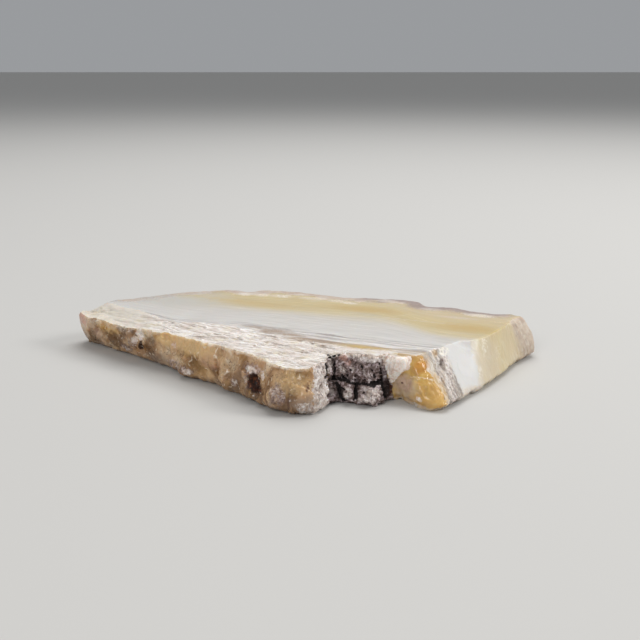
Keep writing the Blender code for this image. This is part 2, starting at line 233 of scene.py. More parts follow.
def ledgeDepth(points):  # how far the long fibrous ledges lie below the polish
    ledgePlace = np.column_stack([
        points[:, 0] / slab["ledgeLength"],
        (points[:, 1] + slab["ledgeSlope"] * points[:, 0]) / slab["ledgeWidth"],
        np.zeros(len(points)),
    ])
    return slab["ledgeHeight"] * (0.5 + 0.5 * rough(ledgePlace, 1.0))


def crustHere(points):  # fades in over the first millimetre beyond the polish
    return smoothstep(0.0, 1.2, distanceToLine(points, crustEdge)) * isCrust(points)


def crustLevels(points, rim):  # the height of the crust: it dips towards the rim, in long ledges
    gaps = np.full(len(points), np.inf)
    rimDip = np.zeros(len(points))
    dips = slab["thickness"] - rim[:, 2] - slab["rimLedge"] * ledgeDepth(rim[:, :2]) * crustHere(rim[:, :2])
    for (x, y, z), dip in zip(rim, dips):
        gap = np.hypot(points[:, 0] - x, points[:, 1] - y)
        closer = gap < gaps
        gaps[closer], rimDip[closer] = gap[closer], dip
    fromEdge = distanceToLine(points, crustEdge)
    towardsRim = fromEdge / (fromEdge + gaps + 1e-6)
    return slab["thickness"] - rimDip * towardsRim - ledgeDepth(points) * crustHere(points)


def makeColumns():
    rows = []
    for station in outlineStations:
        own = [float(station[5] == name) for name in skinNames]
        rows.append([*station[:5], *skins[station[5]], *own])
    # the far side runs from the first station beyond y = 22 to the last beyond y = 28
    firstFar = next(i for i, station in enumerate(outlineStations) if station[1] > 22.0)
    lastFar = max(i for i, station in enumerate(outlineStations) if station[1] > 28.0)
    samples = hermiteLoop(
        np.array(rows), lambda i: slab["farSpacing"] if firstFar <= i <= lastFar else slab["nearSpacing"]
    )
    rim = samples[:, :3]
    rim[:, 2] = np.minimum(rim[:, 2], slab["thickness"])
    rim[:, 2] -= slab["rimLedge"] * ledgeDepth(rim[:, :2]) * crustHere(rim[:, :2])
    along = np.roll(rim[:, :2], -3, axis=0) - np.roll(rim[:, :2], 3, axis=0)
    outward = np.stack([along[:, 1], -along[:, 0]], axis=1)
    outward /= np.linalg.norm(outward, axis=1, keepdims=True)
    return rim, samples[:, 3:5], outward, samples[:, 5:11], np.clip(samples[:, 11:], 0.0, 1.0)


def plainWall(rim, foot, fromTop):
    slope = min(1.0, fromTop / slab["curlStart"])
    flat = rim[:, :2] + (foot - rim[:, :2]) * slope
    return np.column_stack([flat, rim[:, 2] * (1 - fromTop)])


# The lumps, pits and fissures that the solid has too.
def coarseRelief(places, rim, foot, outward, skin, fromTop):
    lumpSize, lumpHeight, grainSize, grainHeight, belly, rounding = skin.T
    upright = places * (1, 1, 0.55)
    push = belly * math.sin(math.pi * fromTop)
    depth = fromTop * slab["thickness"]
    push -= rounding * np.maximum(0.0, 1 - depth / (1.6 * np.maximum(rounding, 0.05))) ** 2
    push -= slab["curlDepth"] * max(0.0, (fromTop - slab["curlStart"]) / (1 - slab["curlStart"])) ** 2
    push += lumpHeight * (0.7 * rough(upright, lumpSize) + 0.6 * facets(upright, lumpSize * 0.8))
    push += grainHeight * rough(places + 40.0, grainSize)
    near = outward[:, 1] < 0
    mark = np.zeros(len(places))
    for x, height, halfWidth, halfHeight, stand in landmarks:
        onWall = rim + (np.column_stack([foot, np.zeros(len(foot))]) - rim) * np.minimum(
            1.0, (1 - height / rim[:, 2:3]) / slab["curlStart"]
        )
        middle = onWall[near][np.abs(onWall[near][:, 0] - x).argmin()]
        along = np.linalg.norm(places[:, :2] - middle[:2], axis=1) / halfWidth
        up = (places[:, 2] - height) / halfHeight
        mark += stand * (1 - smoothstep(0.4, 1.15, np.hypot(along, up)))
    for startX, startZ, endX, endZ, halfWidth, depth in fissures:
        line = np.array([(startX, startZ), (endX, endZ)])
        mark -= depth * (1 - smoothstep(0.3, 1.0, distanceToLine(places[:, [0, 2]], line) / halfWidth))
    return push + mark * near


def gridPoints(loop, spacing):
    low, high = loop.min(axis=0), loop.max(axis=0)
    rowHeight = spacing * math.sqrt(0.75)
    found = []
    for row in range(int((high[1] - low[1]) / rowHeight) + 1):
        xs = np.arange(low[0] + 0.5 * (row % 2) * spacing, high[0], spacing)
        found.append(np.column_stack([xs, np.full(len(xs), low[1] + row * rowHeight)]))
    found = np.vstack(found)
    return found[inside(found, loop)]


def rimGap(points, loop):
    gaps = np.full(len(points), np.inf)
    for place in loop:
        gaps = np.minimum(gaps, np.hypot(points[:, 0] - place[0], points[:, 1] - place[1]))
    return gaps


def triangulate(loop, extra):
    flat = [Vector(point) for point in loop] + [Vector(point) for point in extra]
    _, _, faces, sources, _, _ = geometry.delaunay_2d_cdt(flat, [], [list(range(len(loop)))], 1, 1e-5)
    return [[sources[corner][0] for corner in face] for face in faces]


print("slice: wall")
rim, foot, outward, skin, skinShare = makeColumns()
columnCount = len(rim)
firstRows = [0.0, 0.01, 0.024]   # close together, for a crisp rim
rowShares = np.concatenate([firstRows, np.linspace(0.044, 1.0, slab["wallRows"] - 2)])
rings = []
for rowShare in rowShares:
    ring = plainWall(rim, foot, rowShare)
    ring[:, :2] += outward * coarseRelief(ring, rim, foot, outward, skin, rowShare)[:, None]
    rings.append(ring)
rings = np.array(rings)
rings[-1][:, 2] = 0.0

print("slice: top and underside")
topLoop, bottomLoop = rings[0][:, :2], rings[-1][:, :2]
crustPoints = gridPoints(topLoop, slab["crustSpacing"])
crustReach = np.interp(crustPoints[:, 0], *crustLine.T) + slab["crustMargin"]
finished = (crustPoints[:, 1] < crustReach) & (crustPoints[:, 0] < slab["crustEnd"])
crustPoints = crustPoints[isCrust(crustPoints) | finished]
polishPoints = gridPoints(topLoop, slab["polishSpacing"])
polishReach = np.interp(polishPoints[:, 0], *crustLine.T) + slab["crustMargin"]
polished = (polishPoints[:, 1] > polishReach) | (polishPoints[:, 0] > slab["crustEnd"])
polishPoints = polishPoints[~isCrust(polishPoints) & polished]
topPoints = np.vstack([crustPoints, polishPoints])
clearance = np.concatenate([
    np.full(len(crustPoints), slab["crustSpacing"] * 0.5),
    np.full(len(polishPoints), slab["polishSpacing"] * 0.4),
])
topPoints = topPoints[rimGap(topPoints, topLoop) > clearance]
topCrust = isCrust(topPoints)
topLevels = np.where(topCrust, crustLevels(topPoints, rings[0]), slab["thickness"])
bottomPoints = gridPoints(bottomLoop, slab["undersideSpacing"])
bottomPoints = bottomPoints[rimGap(bottomPoints, bottomLoop) > 0.3]

wallCount = rings.shape[0] * columnCount
topStart, bottomStart = wallCount, wallCount + len(topPoints)
places = np.vstack([
    rings.reshape(-1, 3),
    np.column_stack([topPoints, topLevels]),
    np.column_stack([bottomPoints, np.zeros(len(bottomPoints))]),
])
faces = []
for row in range(rings.shape[0] - 1):
    for i in range(columnCount):
        j = (i + 1) % columnCount
        upper, lower = row * columnCount, (row + 1) * columnCount
        faces.append((upper + i, lower + i, lower + j, upper + j))
for corners in triangulate(topLoop, topPoints):
    faces.append([
        corner if corner < columnCount else topStart + corner - columnCount for corner in corners
    ])
lastRing = (rings.shape[0] - 1) * columnCount
for corners in triangulate(bottomLoop, bottomPoints):
    faces.append([
        lastRing + corner if corner < columnCount else bottomStart + corner - columnCount
        for corner in reversed(corners)
    ])
print(f"slice: {len(places)} points, {len(faces)} faces")

# Lines on the top where one layer gives way to the next, from left to right.
layerLines = {
    "fibreNear": [(-31, 27.0), (-28.3, 26.6), (-23.3, 22.8), (-17.5, 17.4), (-14.4, 16.9), (-10.7, 15.3),
                  (-6.9, 13.2), (-4.6, 11.9), (-2.3, 10.5), (1.1, 8.7), (2.7, 7.9), (5.5, 6.9), (8.7, 5.9),
                  (11, 4.9), (14, 3.6)],
    "fibreFar": [(-31, 28), (-28, 27.8), (-23.3, 24.2), (-17.5, 19.0), (-14.4, 18.6), (-10.7, 18.0),
                 (-8.4, 17.0), (-2.3, 14.0), (2.3, 11.7), (8.9, 8.7), (13.5, 7.4), (16, 6.2)],
    "yellowNear": [(-31, 34), (-21, 29.7), (-13.6, 26.9), (-7.6, 24.8), (-2.5, 23.2), (2.9, 21.0),
                   (8.5, 19.2), (10.5, 16.5), (11.9, 13.3), (13.9, 11.7), (17.6, 10.2), (20, 9.0)],
}
layering = {
    "slope": 0.4,        # the layers run along x, this much towards the front
    "lean": 0.75,        # and their feet lean this much towards the front per millimetre of height
    "fibreNear": 9.3,    # the layer coordinate on each of the lines above
    "fibreFar": 12.7,
    "yellowNear": 20.0,
    # between which layer coordinates the amber begins, the ribs of the wall end and its frayed fibres end
    "amber": (9.3, 8.7), "ribs": (14.2, 12.2), "frayed": (14.6, 13.2),
}
# Between which x each of these fades in.
fades = {
    "frayed": (9.0, 11.0), "crust": (9.5, 7.0), "lip": (-0.6, -1.6), "widerLip": (-23.0, -27.0),
    "deeperLip": (-17.0, -23.0), "fainterLip": (-28.0, -30.0), "rugged": (-25.5, -17.0),
    "farRimShade": (3.0, 8.0), "folds": (-20.0, -12.0),
}

# Patches of the near wall, by kind: x, height, half width, half height and strength of each.
wallPatches = {
    "golden": [(-17.6, 4.0, 2.0, 0.9, 0.9), (-26.3, 3.4, 1.6, 0.9, 1.0), (-14.4, 3.8, 2.2, 0.9, 0.8),
               (-14.0, 1.6, 2.2, 0.9, 0.4), (-2.6, 3.9, 1.6, 0.9, 0.3), (11.8, 1.4, 1.7, 1.7, 0.9),
               (10.4, 4.2, 1.1, 1.0, 1.0), (12.6, 4.7, 0.35, 0.4, 0.7)],
    "straw": [(-17.4, 3.9, 1.8, 0.9, 1.0), (-14.8, 3.9, 2.4, 0.9, 0.8), (-12.3, 3.5, 1.6, 1.0, 0.6),
              (-3.0, 3.4, 1.8, 1.3, 0.7)],
    "smoky": [(-19.4, 1.2, 2.0, 1.0, 0.8), (-26.6, 0.3, 2.4, 0.4, 0.5), (-9.6, 2.4, 1.4, 1.4, 0.3),
              (-1.6, 1.2, 1.7, 0.9, 0.8), (-23.6, 2.2, 1.0, 1.0, 0.3), (9.0, 1.9, 1.1, 1.5, 0.5),
              (13.2, 3.2, 0.5, 1.3, 0.5), (14.2, 1.4, 0.6, 1.2, 0.25)],
    "haze": [(9.2, 1.8, 1.1, 1.4, 0.55), (-1.3, 1.8, 0.9, 0.8, 0.15), (16.3, 0.5, 1.8, 0.7, 0.9),
             (19.4, 2.0, 1.6, 2.5, 0.5), (-30.0, 3.4, 1.6, 1.1, 0.6), (-29.0, 1.7, 1.7, 1.5, 0.3),
             (-25.0, 3.9, 2.5, 0.5, 0.4), (10.4, 0.1, 2.8, 0.25, 0.8)],
    "rosy": [(2.5, 4.5, 0.5, 0.35, 1.0), (2.95, 4.1, 0.4, 0.25, 0.6), (-17.1, 3.3, 0.5, 0.6, 0.4),
             (-30.5, 3.5, 0.9, 0.8, 0.8), (-12.2, 3.0, 1.6, 1.2, 0.3), (-28.2, 2.2, 0.6, 1.0, 0.3),
             (-6.4, 4.0, 1.4, 0.8, 0.2), (9.1, 2.2, 0.8, 1.0, 0.35)],
    "drusy": [(-22.9, 2.4, 0.6, 1.0, 0.8), (-23.9, 1.3, 1.0, 0.6, 0.8), (-17.0, 1.2, 1.0, 0.7, 0.8),
              (-15.6, 1.1, 1.0, 0.6, 0.9), (-7.3, 3.5, 1.0, 0.6, 1.0), (-7.9, 2.6, 0.35, 1.0, 0.8),
              (-4.5, 1.9, 0.85, 1.2, 1.0), (-9.4, 1.6, 0.5, 0.5, 0.6)],
    "pale": [(3.2, 4.85, 1.6, 0.4, 1.1), (5.2, 4.8, 1.8, 0.45, 1.1), (6.6, 4.2, 0.4, 0.7, 0.5),
             (5.4, 1.3, 1.2, 0.95, 0.8), (4.4, 0.8, 0.5, 0.4, 0.8), (2.9, 1.3, 0.5, 0.6, 0.9),
             (0.95, 4.0, 0.45, 0.8, 0.6), (1.2, 1.2, 0.35, 0.8, 0.5),
             (2.4, 3.3, 0.5, 0.4, 0.8), (3.5, 3.6, 0.4, 0.3, 0.5), (5.0, 3.3, 0.6, 0.5, 0.4),
             (14.3, 0.8, 0.5, 0.6, 0.9), (13.7, 4.2, 0.5, 0.8, 0.8), (14.0, 2.4, 0.6, 1.6, 0.8),
             (12.9, 3.1, 0.3, 0.8, 0.6), (-1.4, 0.9, 1.3, 0.8, 0.75)],
    "bloom": [(-21.7, 3.7, 0.55, 0.9, 1.5), (-22.4, 2.9, 0.5, 0.6, 0.9), (-23.8, 1.1, 0.6, 0.3, 0.6),
              (-7.4, 3.5, 0.7, 0.35, 1.0), (-6.1, 3.2, 0.25, 0.5, 0.8), (-15.2, 1.0, 0.5, 0.4, 0.7),
              (-17.2, 3.3, 0.25, 0.3, 0.6), (-9.3, 1.7, 0.3, 0.3, 0.8), (5.4, 1.4, 0.6, 0.5, 0.4),
              (3.6, 4.95, 1.6, 0.3, 1.2), (5.6, 4.95, 1.3, 0.3, 1.2), (1.3, 4.7, 0.5, 0.3, 0.8),
              (10.35, 1.05, 0.35, 0.25, 0.8)],
    "brown": [(-21.7, 2.1, 0.45, 0.6, 1.1), (-7.05, 2.15, 0.85, 1.1, 1.4), (-1.3, 3.0, 0.2, 0.5, 0.6),
              (13.2, 3.9, 0.4, 0.35, 0.5), (7.3, 1.4, 0.5, 1.2, 0.8),
              (-3.3, 1.2, 0.2, 0.9, 0.5), (-14.6, 2.9, 0.3, 0.4, 0.3), (8.8, 2.15, 0.16, 0.14, 1.0)],
    "umber": [(-25.7, 1.9, 1.3, 1.1, 1.1), (-20.3, 2.8, 0.8, 1.3, 0.85), (-29.2, 0.8, 1.2, 0.8, 0.5),
              (-8.6, 2.0, 0.8, 1.2, 0.5), (-14.5, 1.9, 1.0, 0.8, 0.55), (-2.6, 0.5, 1.4, 0.4, 0.4),
              (-11.0, 0.7, 1.6, 0.5, 0.4)],
    # painted shade in the clefts and the gap of the notch
    "cleftShade": [(1.25, 2.7, 0.5, 0.35, 0.9), (2.1, 1.2, 0.4, 0.9, 0.9), (7.15, 1.4, 0.4, 1.1, 0.8),
             (3.85, 1.5, 0.25, 0.9, 0.8), (3.4, 2.9, 0.8, 0.3, 0.4), (5.6, 2.9, 0.7, 0.3, 0.3)],
    "orange": [(10.8, 4.0, 0.8, 0.7, 0.6)],
    "frost": [(18.7, 4.2, 0.6, 1.0, 0.5), (20.6, 3.0, 0.6, 1.4, 0.3), (17.9, 2.0, 0.4, 0.9, 0.4),
              (13.6, 4.6, 0.7, 0.4, 0.9)],
}
# Patches of the top, by kind: x, y, half length along the layers, half width and strength of each.
topPatches = {
    "honey": [(-7.5, 26.9, 7.0, 1.7, 0.5), (6.0, 24.6, 5.0, 1.7, 1.0), (17.6, 15.4, 4.2, 2.0, 1.0),
              (4.4, 7.5, 3.2, 0.9, 1.0)],
    "golden": [(5.2, 7.2, 2.6, 0.4, 0.9)],
    "smoky": [(-5.3, 14.1, 2.4, 0.9, 1.1), (-1.0, 10.3, 3.0, 0.6, 1.0), (-7.8, 16.0, 2.0, 0.5, 0.9),
              (-3.2, 12.4, 2.2, 0.7, 1.1), (0.5, 9.3, 2.4, 0.5, 1.0)],
    "haze": [(5.0, 29.0, 2.4, 0.6, 0.5), (17.0, 20.3, 2.6, 0.6, 0.8), (12.5, 18.6, 5.5, 0.2, 0.6)],
    "milk": [(-19.0, 29.6, 7.0, 3.6, 1.0), (-15.0, 32.6, 4.0, 2.0, 0.5)],
    "chalk": [(-10.0, 33.2, 1.4, 1.0, 1.0), (-7.7, 32.6, 1.3, 1.0, 1.0), (-5.2, 32.0, 1.8, 1.0, 0.9),
              (-1.0, 30.6, 2.6, 1.0, 0.7), (2.2, 29.2, 1.8, 0.9, 0.8), (3.8, 28.0, 1.4, 0.7, 1.0),
              (8.8, 29.2, 1.8, 1.0, 0.7), (20.0, 21.3, 2.2, 0.9, 1.0), (14.2, 24.7, 1.8, 0.8, 0.6)],
}
patchKinds = list(dict.fromkeys([*wallPatches, *topPatches]))

# Outlines on the near wall, by x and height: the snow-white facet and the drip beside the notch.
snowFacet = [(14.0, 5.1), (16.95, 5.1), (17.3, 3.3), (17.75, 1.9), (17.4, 1.0), (15.4, 1.3), (14.8, 2.3),
             (14.3, 3.5), (13.5, 4.6)]
paleDrip = [(6.6, 5.2), (9.75, 5.2), (9.8, 4.4), (9.4, 3.7), (8.7, 3.4), (8.35, 2.7), (7.95, 2.0),
            (7.6, 2.1), (7.2, 3.2), (6.8, 4.1)]

# By x and height too: hairline cracks and pits of the notch, cut in and painted dark as shade, and the pale
# seam round the amber, also painted as a highlight.
hairlines = [
    [(1.47, 5.0), (1.5, 3.9), (1.52, 2.9), (1.62, 2.3)],
    [(0.85, 2.6), (1.5, 2.35), (2.27, 2.4), (3.76, 2.2), (5.2, 2.3), (6.4, 2.45)],
    [(1.7, 2.1), (2.15, 1.4), (2.25, 0.6), (2.8, 0.3)],
    [(3.9, 2.2), (3.85, 1.3), (3.7, 0.4)],
    [(6.45, 4.1), (6.45, 3.6), (6.6, 2.4), (6.9, 1.2), (7.2, 0.3)],
    [(2.3, 2.8), (2.7, 2.35)], [(0.75, 4.5), (0.8, 3.2)],
]
pitPlaces = [(1.2, 4.75), (2.05, 4.8), (0.74, 4.4), (0.75, 3.2), (3.2, 3.5), (2.9, 2.75), (5.7, 3.6),
             (4.4, 3.9), (4.6, 1.7), (5.9, 3.1), (2.4, 1.6)]
amberSeam = [(9.6, 2.9), (10.5, 3.05), (11.3, 3.0), (12.26, 2.6), (12.98, 1.94), (13.3, 1.2), (13.4, 0.4)]

# Shell-shaped chips that one sees first: x, height, radius, depth and the side whose rim gets a painted
# highlight, in degrees.
chipRows = [
    (-10.9, 4.1, 0.85, 0.16, 200), (-13.1, 4.0, 0.42, 0.12, 30), (-17.1, 3.3, 0.48, 0.12, 10),
    (-9.7, 1.9, 0.50, 0.14, 150), (-8.8, 1.3, 0.42, 0.13, 60), (-12.4, 1.7, 0.28, 0.10, 80),
    (-14.6, 2.6, 0.45, 0.14, 0), (-5.9, 3.0, 0.50, 0.10, 170),
    (10.2, 4.15, 0.30, 0.10, 90), (10.7, 3.5, 0.34, 0.12, 120), (-22.0, 3.9, 0.35, 0.12, 90),
]
# shine: strength of the painted highlight on each random chip's rim
chipRandom = {"count": 150, "seed": 12, "smallest": 0.12, "largest": 0.50, "depth": 0.30, "shine": 0.7}


def layerPlaces(points):  # along the layers, across them and down them, in millimetres
    level = points[:, 1] + layering["lean"] * (slab["thickness"] - points[:, 2])
    lineY = []
    for line in layerLines.values():
        beyond = np.array([line[-1]]) + (20.0, -20.0 * layering["slope"])
        xs, ys = np.vstack([line, beyond]).T
        lineY.append(sum(np.interp(points[:, 0] + shift, xs, ys) for shift in (-2, -1, 0, 1, 2)) / 5)
    value = [layering[name] for name in layerLines]
    across = value[0] + (level - lineY[0])
    for lower, upper in ((0, 1), (1, 2)):
        gap = np.maximum(0.1, lineY[upper] - lineY[lower])
        between = value[lower] + (value[upper] - value[lower]) * (level - lineY[lower]) / gap
        across = np.where(level > lineY[lower], between, across)
    across = np.where(level > lineY[2], value[2] + level - lineY[2], across)
    along = points[:, 0] - layering["slope"] * points[:, 1]
    return np.column_stack([along, across, points[:, 2] * 1.2])


def insideShare(points, outline, softness):  # 1 well inside the outline, 0 well outside
    loop = np.array(outline)
    gap = distanceToLine(points, np.vstack([loop, loop[:1]]))
    return smoothstep(-softness, softness, np.where(inside(points, loop), gap, -gap))


def fadeIn(name):
    return smoothstep(*fades[name], places[:, 0])


print("slice: finishes")
everyPlace = np.arange(len(places))
wallFirst = np.arange(wallCount)
rowOf = np.full(len(places), -1)
rowOf[:wallCount] = wallFirst // columnCount
columnOf = np.zeros(len(places), int)
columnOf[:wallCount] = wallFirst % columnCount
onWall = rowOf > 0
onTop = (rowOf == 0) | ((everyPlace >= topStart) & (everyPlace < bottomStart))
down = np.where(onWall, 1 - places[:, 2] / rim[columnOf, 2], 0.0)
steps = np.linalg.norm(rim[:, :2] - np.roll(rim[:, :2], 1, axis=0), axis=1)
arc = np.cumsum(steps)
layerPlace = layerPlaces(places)
frayed = onWall * fadeIn("frayed") * smoothstep(*layering["frayed"], layerPlace[:, 1])
layerPlace[:, 1] += frayed * (0.32 * rough(places + 71.0, 0.9) + 0.16 * rough(places + 77.0, 0.3))
nearWall = onWall & (outward[columnOf][:, 1] < 0.15)
seen = places[:, [0, 2]]  # the near wall as one sees it, by x and height

share = {}
ragged = rough(places + 11.0, 0.9)
for number, name in enumerate(skinNames):
    own = skinShare[columnOf, number] * onWall
    share[name] = np.clip(own + 0.18 * ragged * (own > 0.02) * (own < 0.98), 0.0, 1.0)
for name, like in (("tip", "waxy"), ("end", "rind")):
    share[like] = np.clip(share[like] + share.pop(name), 0.0, 1.0)
share["sawn"][bottomStart:] = 1.0
amberLayer = smoothstep(*layering["amber"], layerPlace[:, 1] + 0.25 * ragged)
fibreLayer = (places[:, 0] > 9.8) & onWall & (outward[columnOf][:, 1] < 0)
for name in ("glassy", "broken"):   # beyond the amber, the layers show
    takenOver = share[name] * fibreLayer * (1 - amberLayer)
    share[name] = share[name] - takenOver
    share["sawn"] = share["sawn"] + takenOver

crustY = np.interp(places[:, 0], *crustLine.T)
crustNear = smoothstep(crustY + 0.5, crustY - 0.3, places[:, 1] + 0.5 * ragged)
share["crust"] = crustNear * fadeIn("crust") * onTop
topOnes = np.flatnonzero(onTop)
nearRim = rings[0][(outward[:, 1] < 0.15) & (rim[:, 0] < -0.6)]
lipGap = np.full(len(places), np.inf)
lipGap[topOnes] = rimGap(places[topOnes, :2], nearRim)
lipGap[nearWall] = down[nearWall] * 5.0
lipWidth = 0.45 + 0.9 * fadeIn("widerLip")
lip = smoothstep(1.0, 0.4, lipGap / lipWidth + 0.3 * ragged) * fadeIn("lip")
lipReach = 0.5 + 1.3 * fadeIn("deeperLip")
lipFade = np.clip((lipReach - lipGap) / (lipReach - 0.1), 0.0, 1.0)
lipFade *= 1 - 0.6 * fadeIn("fainterLip")
lip *= np.where(nearWall, lipFade, 1.0) * (0.75 + 0.5 * rough(places + 83.0, 1.6))
lip = np.clip(lip, 0.0, 1.0)
rugged = fadeIn("rugged") * (1 - 0.8 * lip)   # the crust is smooth by the tip and the lip
farRim = rings[0][skinShare[:, skinNames.index("rind")] > 0.5]
farGap = np.full(len(places), np.inf)
farGap[topOnes] = rimGap(places[topOnes, :2], farRim)
farShare = smoothstep(2.2, 0.4, farGap + 1.7 * rough(places + 5.0, 2.5)) * onTop * (1 - share["crust"])
share["rind"] = np.maximum(share["rind"], farShare)

patch = {kind: np.zeros(len(places)) for kind in patchKinds}
patchWarp = 0.35 * rough(places + 21.0, 0.7)
for kind, rows in wallPatches.items():
    for x, z, halfWidth, halfHeight, strength in rows:
        away = np.hypot((places[:, 0] - x) / halfWidth, (places[:, 2] - z) / halfHeight) + patchWarp
        patch[kind] = np.maximum(patch[kind], strength * smoothstep(1.35, 0.55, away) * nearWall)
stretch = math.hypot(1, layering["slope"])
for kind, rows in topPatches.items():
    for x, y, halfLength, halfWidth, strength in rows:
        along = ((places[:, 0] - x) - layering["slope"] * (places[:, 1] - y)) / stretch
        across = ((places[:, 1] - y) + layering["slope"] * (places[:, 0] - x)) / stretch
        away = np.hypot(along / halfLength, across / halfWidth) + patchWarp * 0.6
        patch[kind] = np.maximum(patch[kind], strength * smoothstep(1.4, 0.2, away) * onTop)
uneven = seen + 0.16 * np.column_stack([rough(places + 51.0, 0.6), rough(places + 57.0, 0.6)])
patch["snow"] = insideShare(uneven, snowFacet, 0.3) * nearWall * (places[:, 0] > 12)
drip = insideShare(uneven, paleDrip, 0.2) * nearWall * (places[:, 0] < 12)
patch["lip"] = lip
# painted shade in a band along the far rim, where it falls away
farBand = smoothstep(2.3, 0.9, farGap + 0.9 * rough(places + 91.0, 2.0)) * onTop
patch["farRimShade"] = farBand * (1 - share["crust"]) * (0.25 + 0.75 * fadeIn("farRimShade"))
share["sugary"] = np.maximum(share["sugary"], drip)
for name in ("broken", "glassy"):
    share[name] = share[name] * (1 - drip)
patch["drip"] = drip
seamGap = distanceToLine(uneven, np.array(amberSeam)) + 0.05 * rough(places + 61.0, 0.5)
# the seam round the amber is a raised pale line, painted as a highlight
patch["paintedGlint"] = 0.55 * smoothstep(0.12, 0.02, seamGap) * nearWall * (places[:, 0] > 9)

fine = {
    "flute": 0.03,      # soft upright flutes of the waxy skin
    "crease": 0.08,     # sharp creases between its folds
    "sugar": 0.08,      # sugary grains
    "block": 0.15,      # small blocks of the broken notch
    "hairline": 0.24,   # cracks between them
    "pit": 0.30,
    "flake": 0.13,      # splintered flakes of the crust
    "stroke": 0.06,     # and its fibres
    "layer": 0.07,      # ribs where the fibrous layers reach the wall
    "sawMark": 0.015,
    "rindLump": 0.05,
    "seam": 0.07,
    "facet": 0.045,     # planes of the snow-white facet
    "chippedFoot": 0.32,  # small chips out of the bottom edge
    "strokeSlope": 0.6,   # how far the crust's fibres turn towards the front
}


# The chips' rims get painted highlights, returned as the second mask.
def chipRelief():  # how far the chips go in, and where their rims shine
    randoms = np.random.RandomState(chipRandom["seed"])
    nearColumns = np.flatnonzero((outward[:, 1] < 0) & ((skinShare[:, 0] + skinShare[:, 3]) > 0.5))
    chips = []
    for x, z, radius, depth, turn in chipRows:
        column = nearColumns[np.abs(rim[nearColumns, 0] - x).argmin()]
        chips.append((arc[column], z, radius, depth, math.radians(turn), 1.0))
    for _ in range(chipRandom["count"]):
        column = nearColumns[randoms.randint(len(nearColumns))]
        z, size, turn = randoms.uniform(0.3, 4.4), randoms.uniform() ** 2, randoms.uniform(0, 2 * math.pi)
        radius = chipRandom["smallest"] + (chipRandom["largest"] - chipRandom["smallest"]) * size
        chips.append((arc[column], z, radius, chipRandom["depth"] * radius, turn, chipRandom["shine"]))
    relief, shine = np.zeros(len(places)), np.zeros(len(places))
    wobble = 0.16 * rough(places + 31.0, 0.35, 2)
    for middle, height, radius, depth, turn, bright in chips:
        along = np.where(onWall, arc[columnOf] - middle, 99.0) / radius
        up = (places[:, 2] - height) / radius
        reach = np.hypot(along, up) + wobble
        some = np.flatnonzero(reach < 1.5)
        side = (math.cos(turn) * along[some] + math.sin(turn) * up[some]) / np.maximum(reach[some], 0.2)
        thin = min(0.2, max(0.06, 0.05 / radius))
        rimHere = np.exp(-((reach[some] - 1.0) / thin) ** 2)
        relief[some] += depth * (0.2 * rimHere - np.maximum(0.0, 1 - reach[some] ** 2) * (1 + 0.5 * side))
        shine[some] = np.maximum(shine[some], bright * rimHere * smoothstep(0.2, 0.95, side))
    return relief, shine


